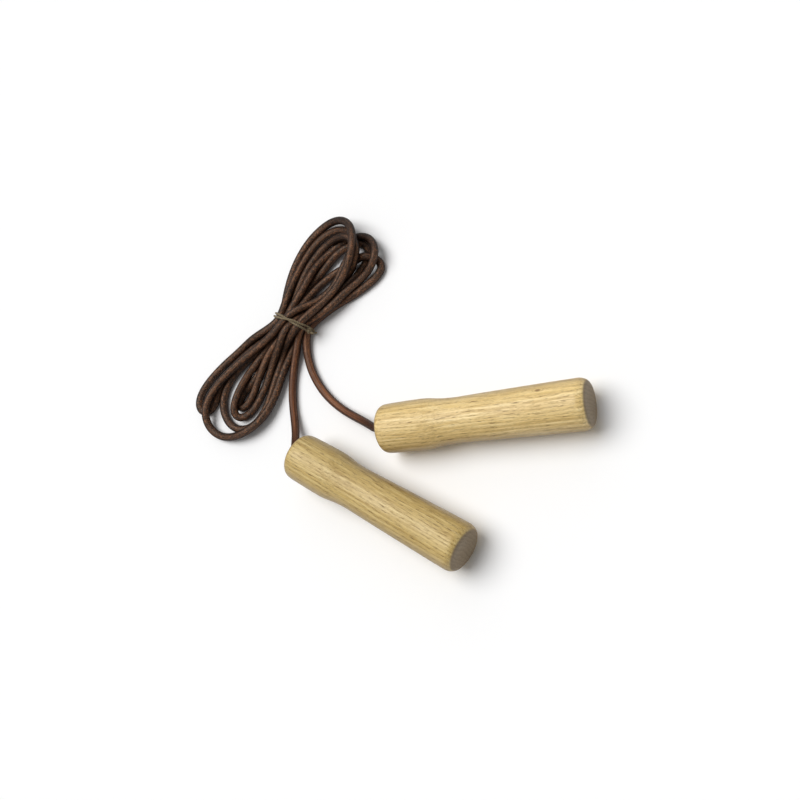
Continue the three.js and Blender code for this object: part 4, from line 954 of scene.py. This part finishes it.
def build_bearing(tag, axes, middle):
    outer = lathe("race_outer_" + tag, OUTER_RACE, 96, axes, middle)
    finish_piece(outer, "bearing_steel", "grip_" + tag, f"bearing_{tag}_outer_ring")
    inner = lathe("race_inner_" + tag, INNER_RACE, 72, axes, middle)
    finish_piece(inner, "bearing_steel", "coil", f"bearing_{tag}_inner_ring")
    half_circle = [(-BALL_RADIUS * math.cos(a), BALL_RADIUS * math.sin(a))
                   for a in np.linspace(0, math.pi, 19)]
    # the poles must lie exactly on the axis
    half_circle[0] = (-BALL_RADIUS, 0.0)
    half_circle[-1] = (BALL_RADIUS, 0.0)
    for i, outward in enumerate(ball_directions(axes), start=1):
        ball = lathe(f"ball_{tag}_{i}", half_circle, 28, axes, middle + PITCH_RADIUS * outward)
        finish_piece(ball, "bearing_steel", "cage_" + tag, f"bearing_{tag}_ball_{i}")
    build_cage(tag, axes, middle)


for tag, place in HANDLES.items():
    axes = handle_axes(place["axis"])
    at = np.array(place["at"])
    build_wood(tag, axes, at, place["seed"])
    build_bearing(tag, axes, at + BEARING_DEPTH * axes[1])
    for name, profile, segments, material, body, cad_piece in FITTINGS:
        fitting = lathe(name + tag, profile, segments, axes, at)
        finish_piece(fitting, material, body.format(tag), cad_piece.format(tag))


# ---------------------------------------------------------------- floor, light, camera (metres)
def build_floor():
    mesh = bpy.data.meshes.new("floor")
    mesh.from_pydata([(-4, -4, 0), (4, -4, 0), (4, 4, 0), (-4, 4, 0)], [], [(0, 1, 2, 3)])
    floor = bpy.data.objects.new("floor", mesh)
    bpy.context.scene.collection.objects.link(floor)
    mat = Material("floor_white")
    mat.set("Base Color", (0.93, 0.93, 0.93))
    mat.set("Roughness", 0.9)
    mat.set("Specular IOR Level", 0.1)
    mesh.materials.append(mat.block)
    floor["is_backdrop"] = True


def build_world(light, seen):
    """White world: one strength lights the scene, the other is what the camera sees."""
    world = bpy.data.worlds.new("studio")
    bpy.context.scene.world = world
    world.use_nodes = True
    nodes, links = world.node_tree.nodes, world.node_tree.links
    nodes.clear()
    output = nodes.new("ShaderNodeOutputWorld")
    mix = nodes.new("ShaderNodeMixShader")
    rays = nodes.new("ShaderNodeLightPath")
    links.new(rays.outputs["Is Camera Ray"], mix.inputs[0])
    for socket, strength in ((mix.inputs[1], light), (mix.inputs[2], seen)):
        background = nodes.new("ShaderNodeBackground")
        background.inputs[0].default_value = (1, 1, 1, 1)
        background.inputs[1].default_value = strength
        links.new(background.outputs[0], socket)
    links.new(mix.outputs[0], output.inputs[0])


def sun(name, towards, strength, spread):
    """Soft sun standing in the direction towards; spread in degrees."""
    light = bpy.data.lights.new(name, "SUN")
    light.energy = strength
    light.angle = math.radians(spread)
    ob = bpy.data.objects.new(name, light)
    bpy.context.scene.collection.objects.link(ob)
    ob.rotation_euler = (-Vector(towards)).to_track_quat("-Z", "Y").to_euler()


def build_camera():
    """Camera above the -y side, looking down at the coil."""
    lens = bpy.data.cameras.new("camera")
    lens.sensor_width = 36.0
    lens.lens = 49.5
    lens.clip_start = 0.01
    lens.clip_end = 20
    camera = bpy.data.objects.new("camera", lens)
    bpy.context.scene.collection.objects.link(camera)
    camera.matrix_world = Matrix([
        [0.456701, 0.88962, 0.0, -0.006466],
        [-0.775879, 0.39831, -0.489246, -0.396532],
        [-0.435243, 0.223439, 0.872146, 0.689387],
        [0.0, 0.0, 0.0, 1.0],
    ])
    bpy.context.scene.camera = camera


build_floor()
build_world(light=0.27, seen=0.97)
sun("key", towards=(-0.06, 0.56, 1.20), strength=2.62, spread=48)
sun("back", towards=(0.9, 0.7, 0.9), strength=0.30, spread=50)
build_camera()

view = bpy.context.scene.view_settings
view.view_transform = "Standard"
view.look = "None"
view.exposure = 0.0
view.gamma = 1.0

as_list = lambda b: [[float(c) for c in corner] for corner in b]
{"cad": as_list(CAD_BOX), "visual": as_list(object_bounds())}
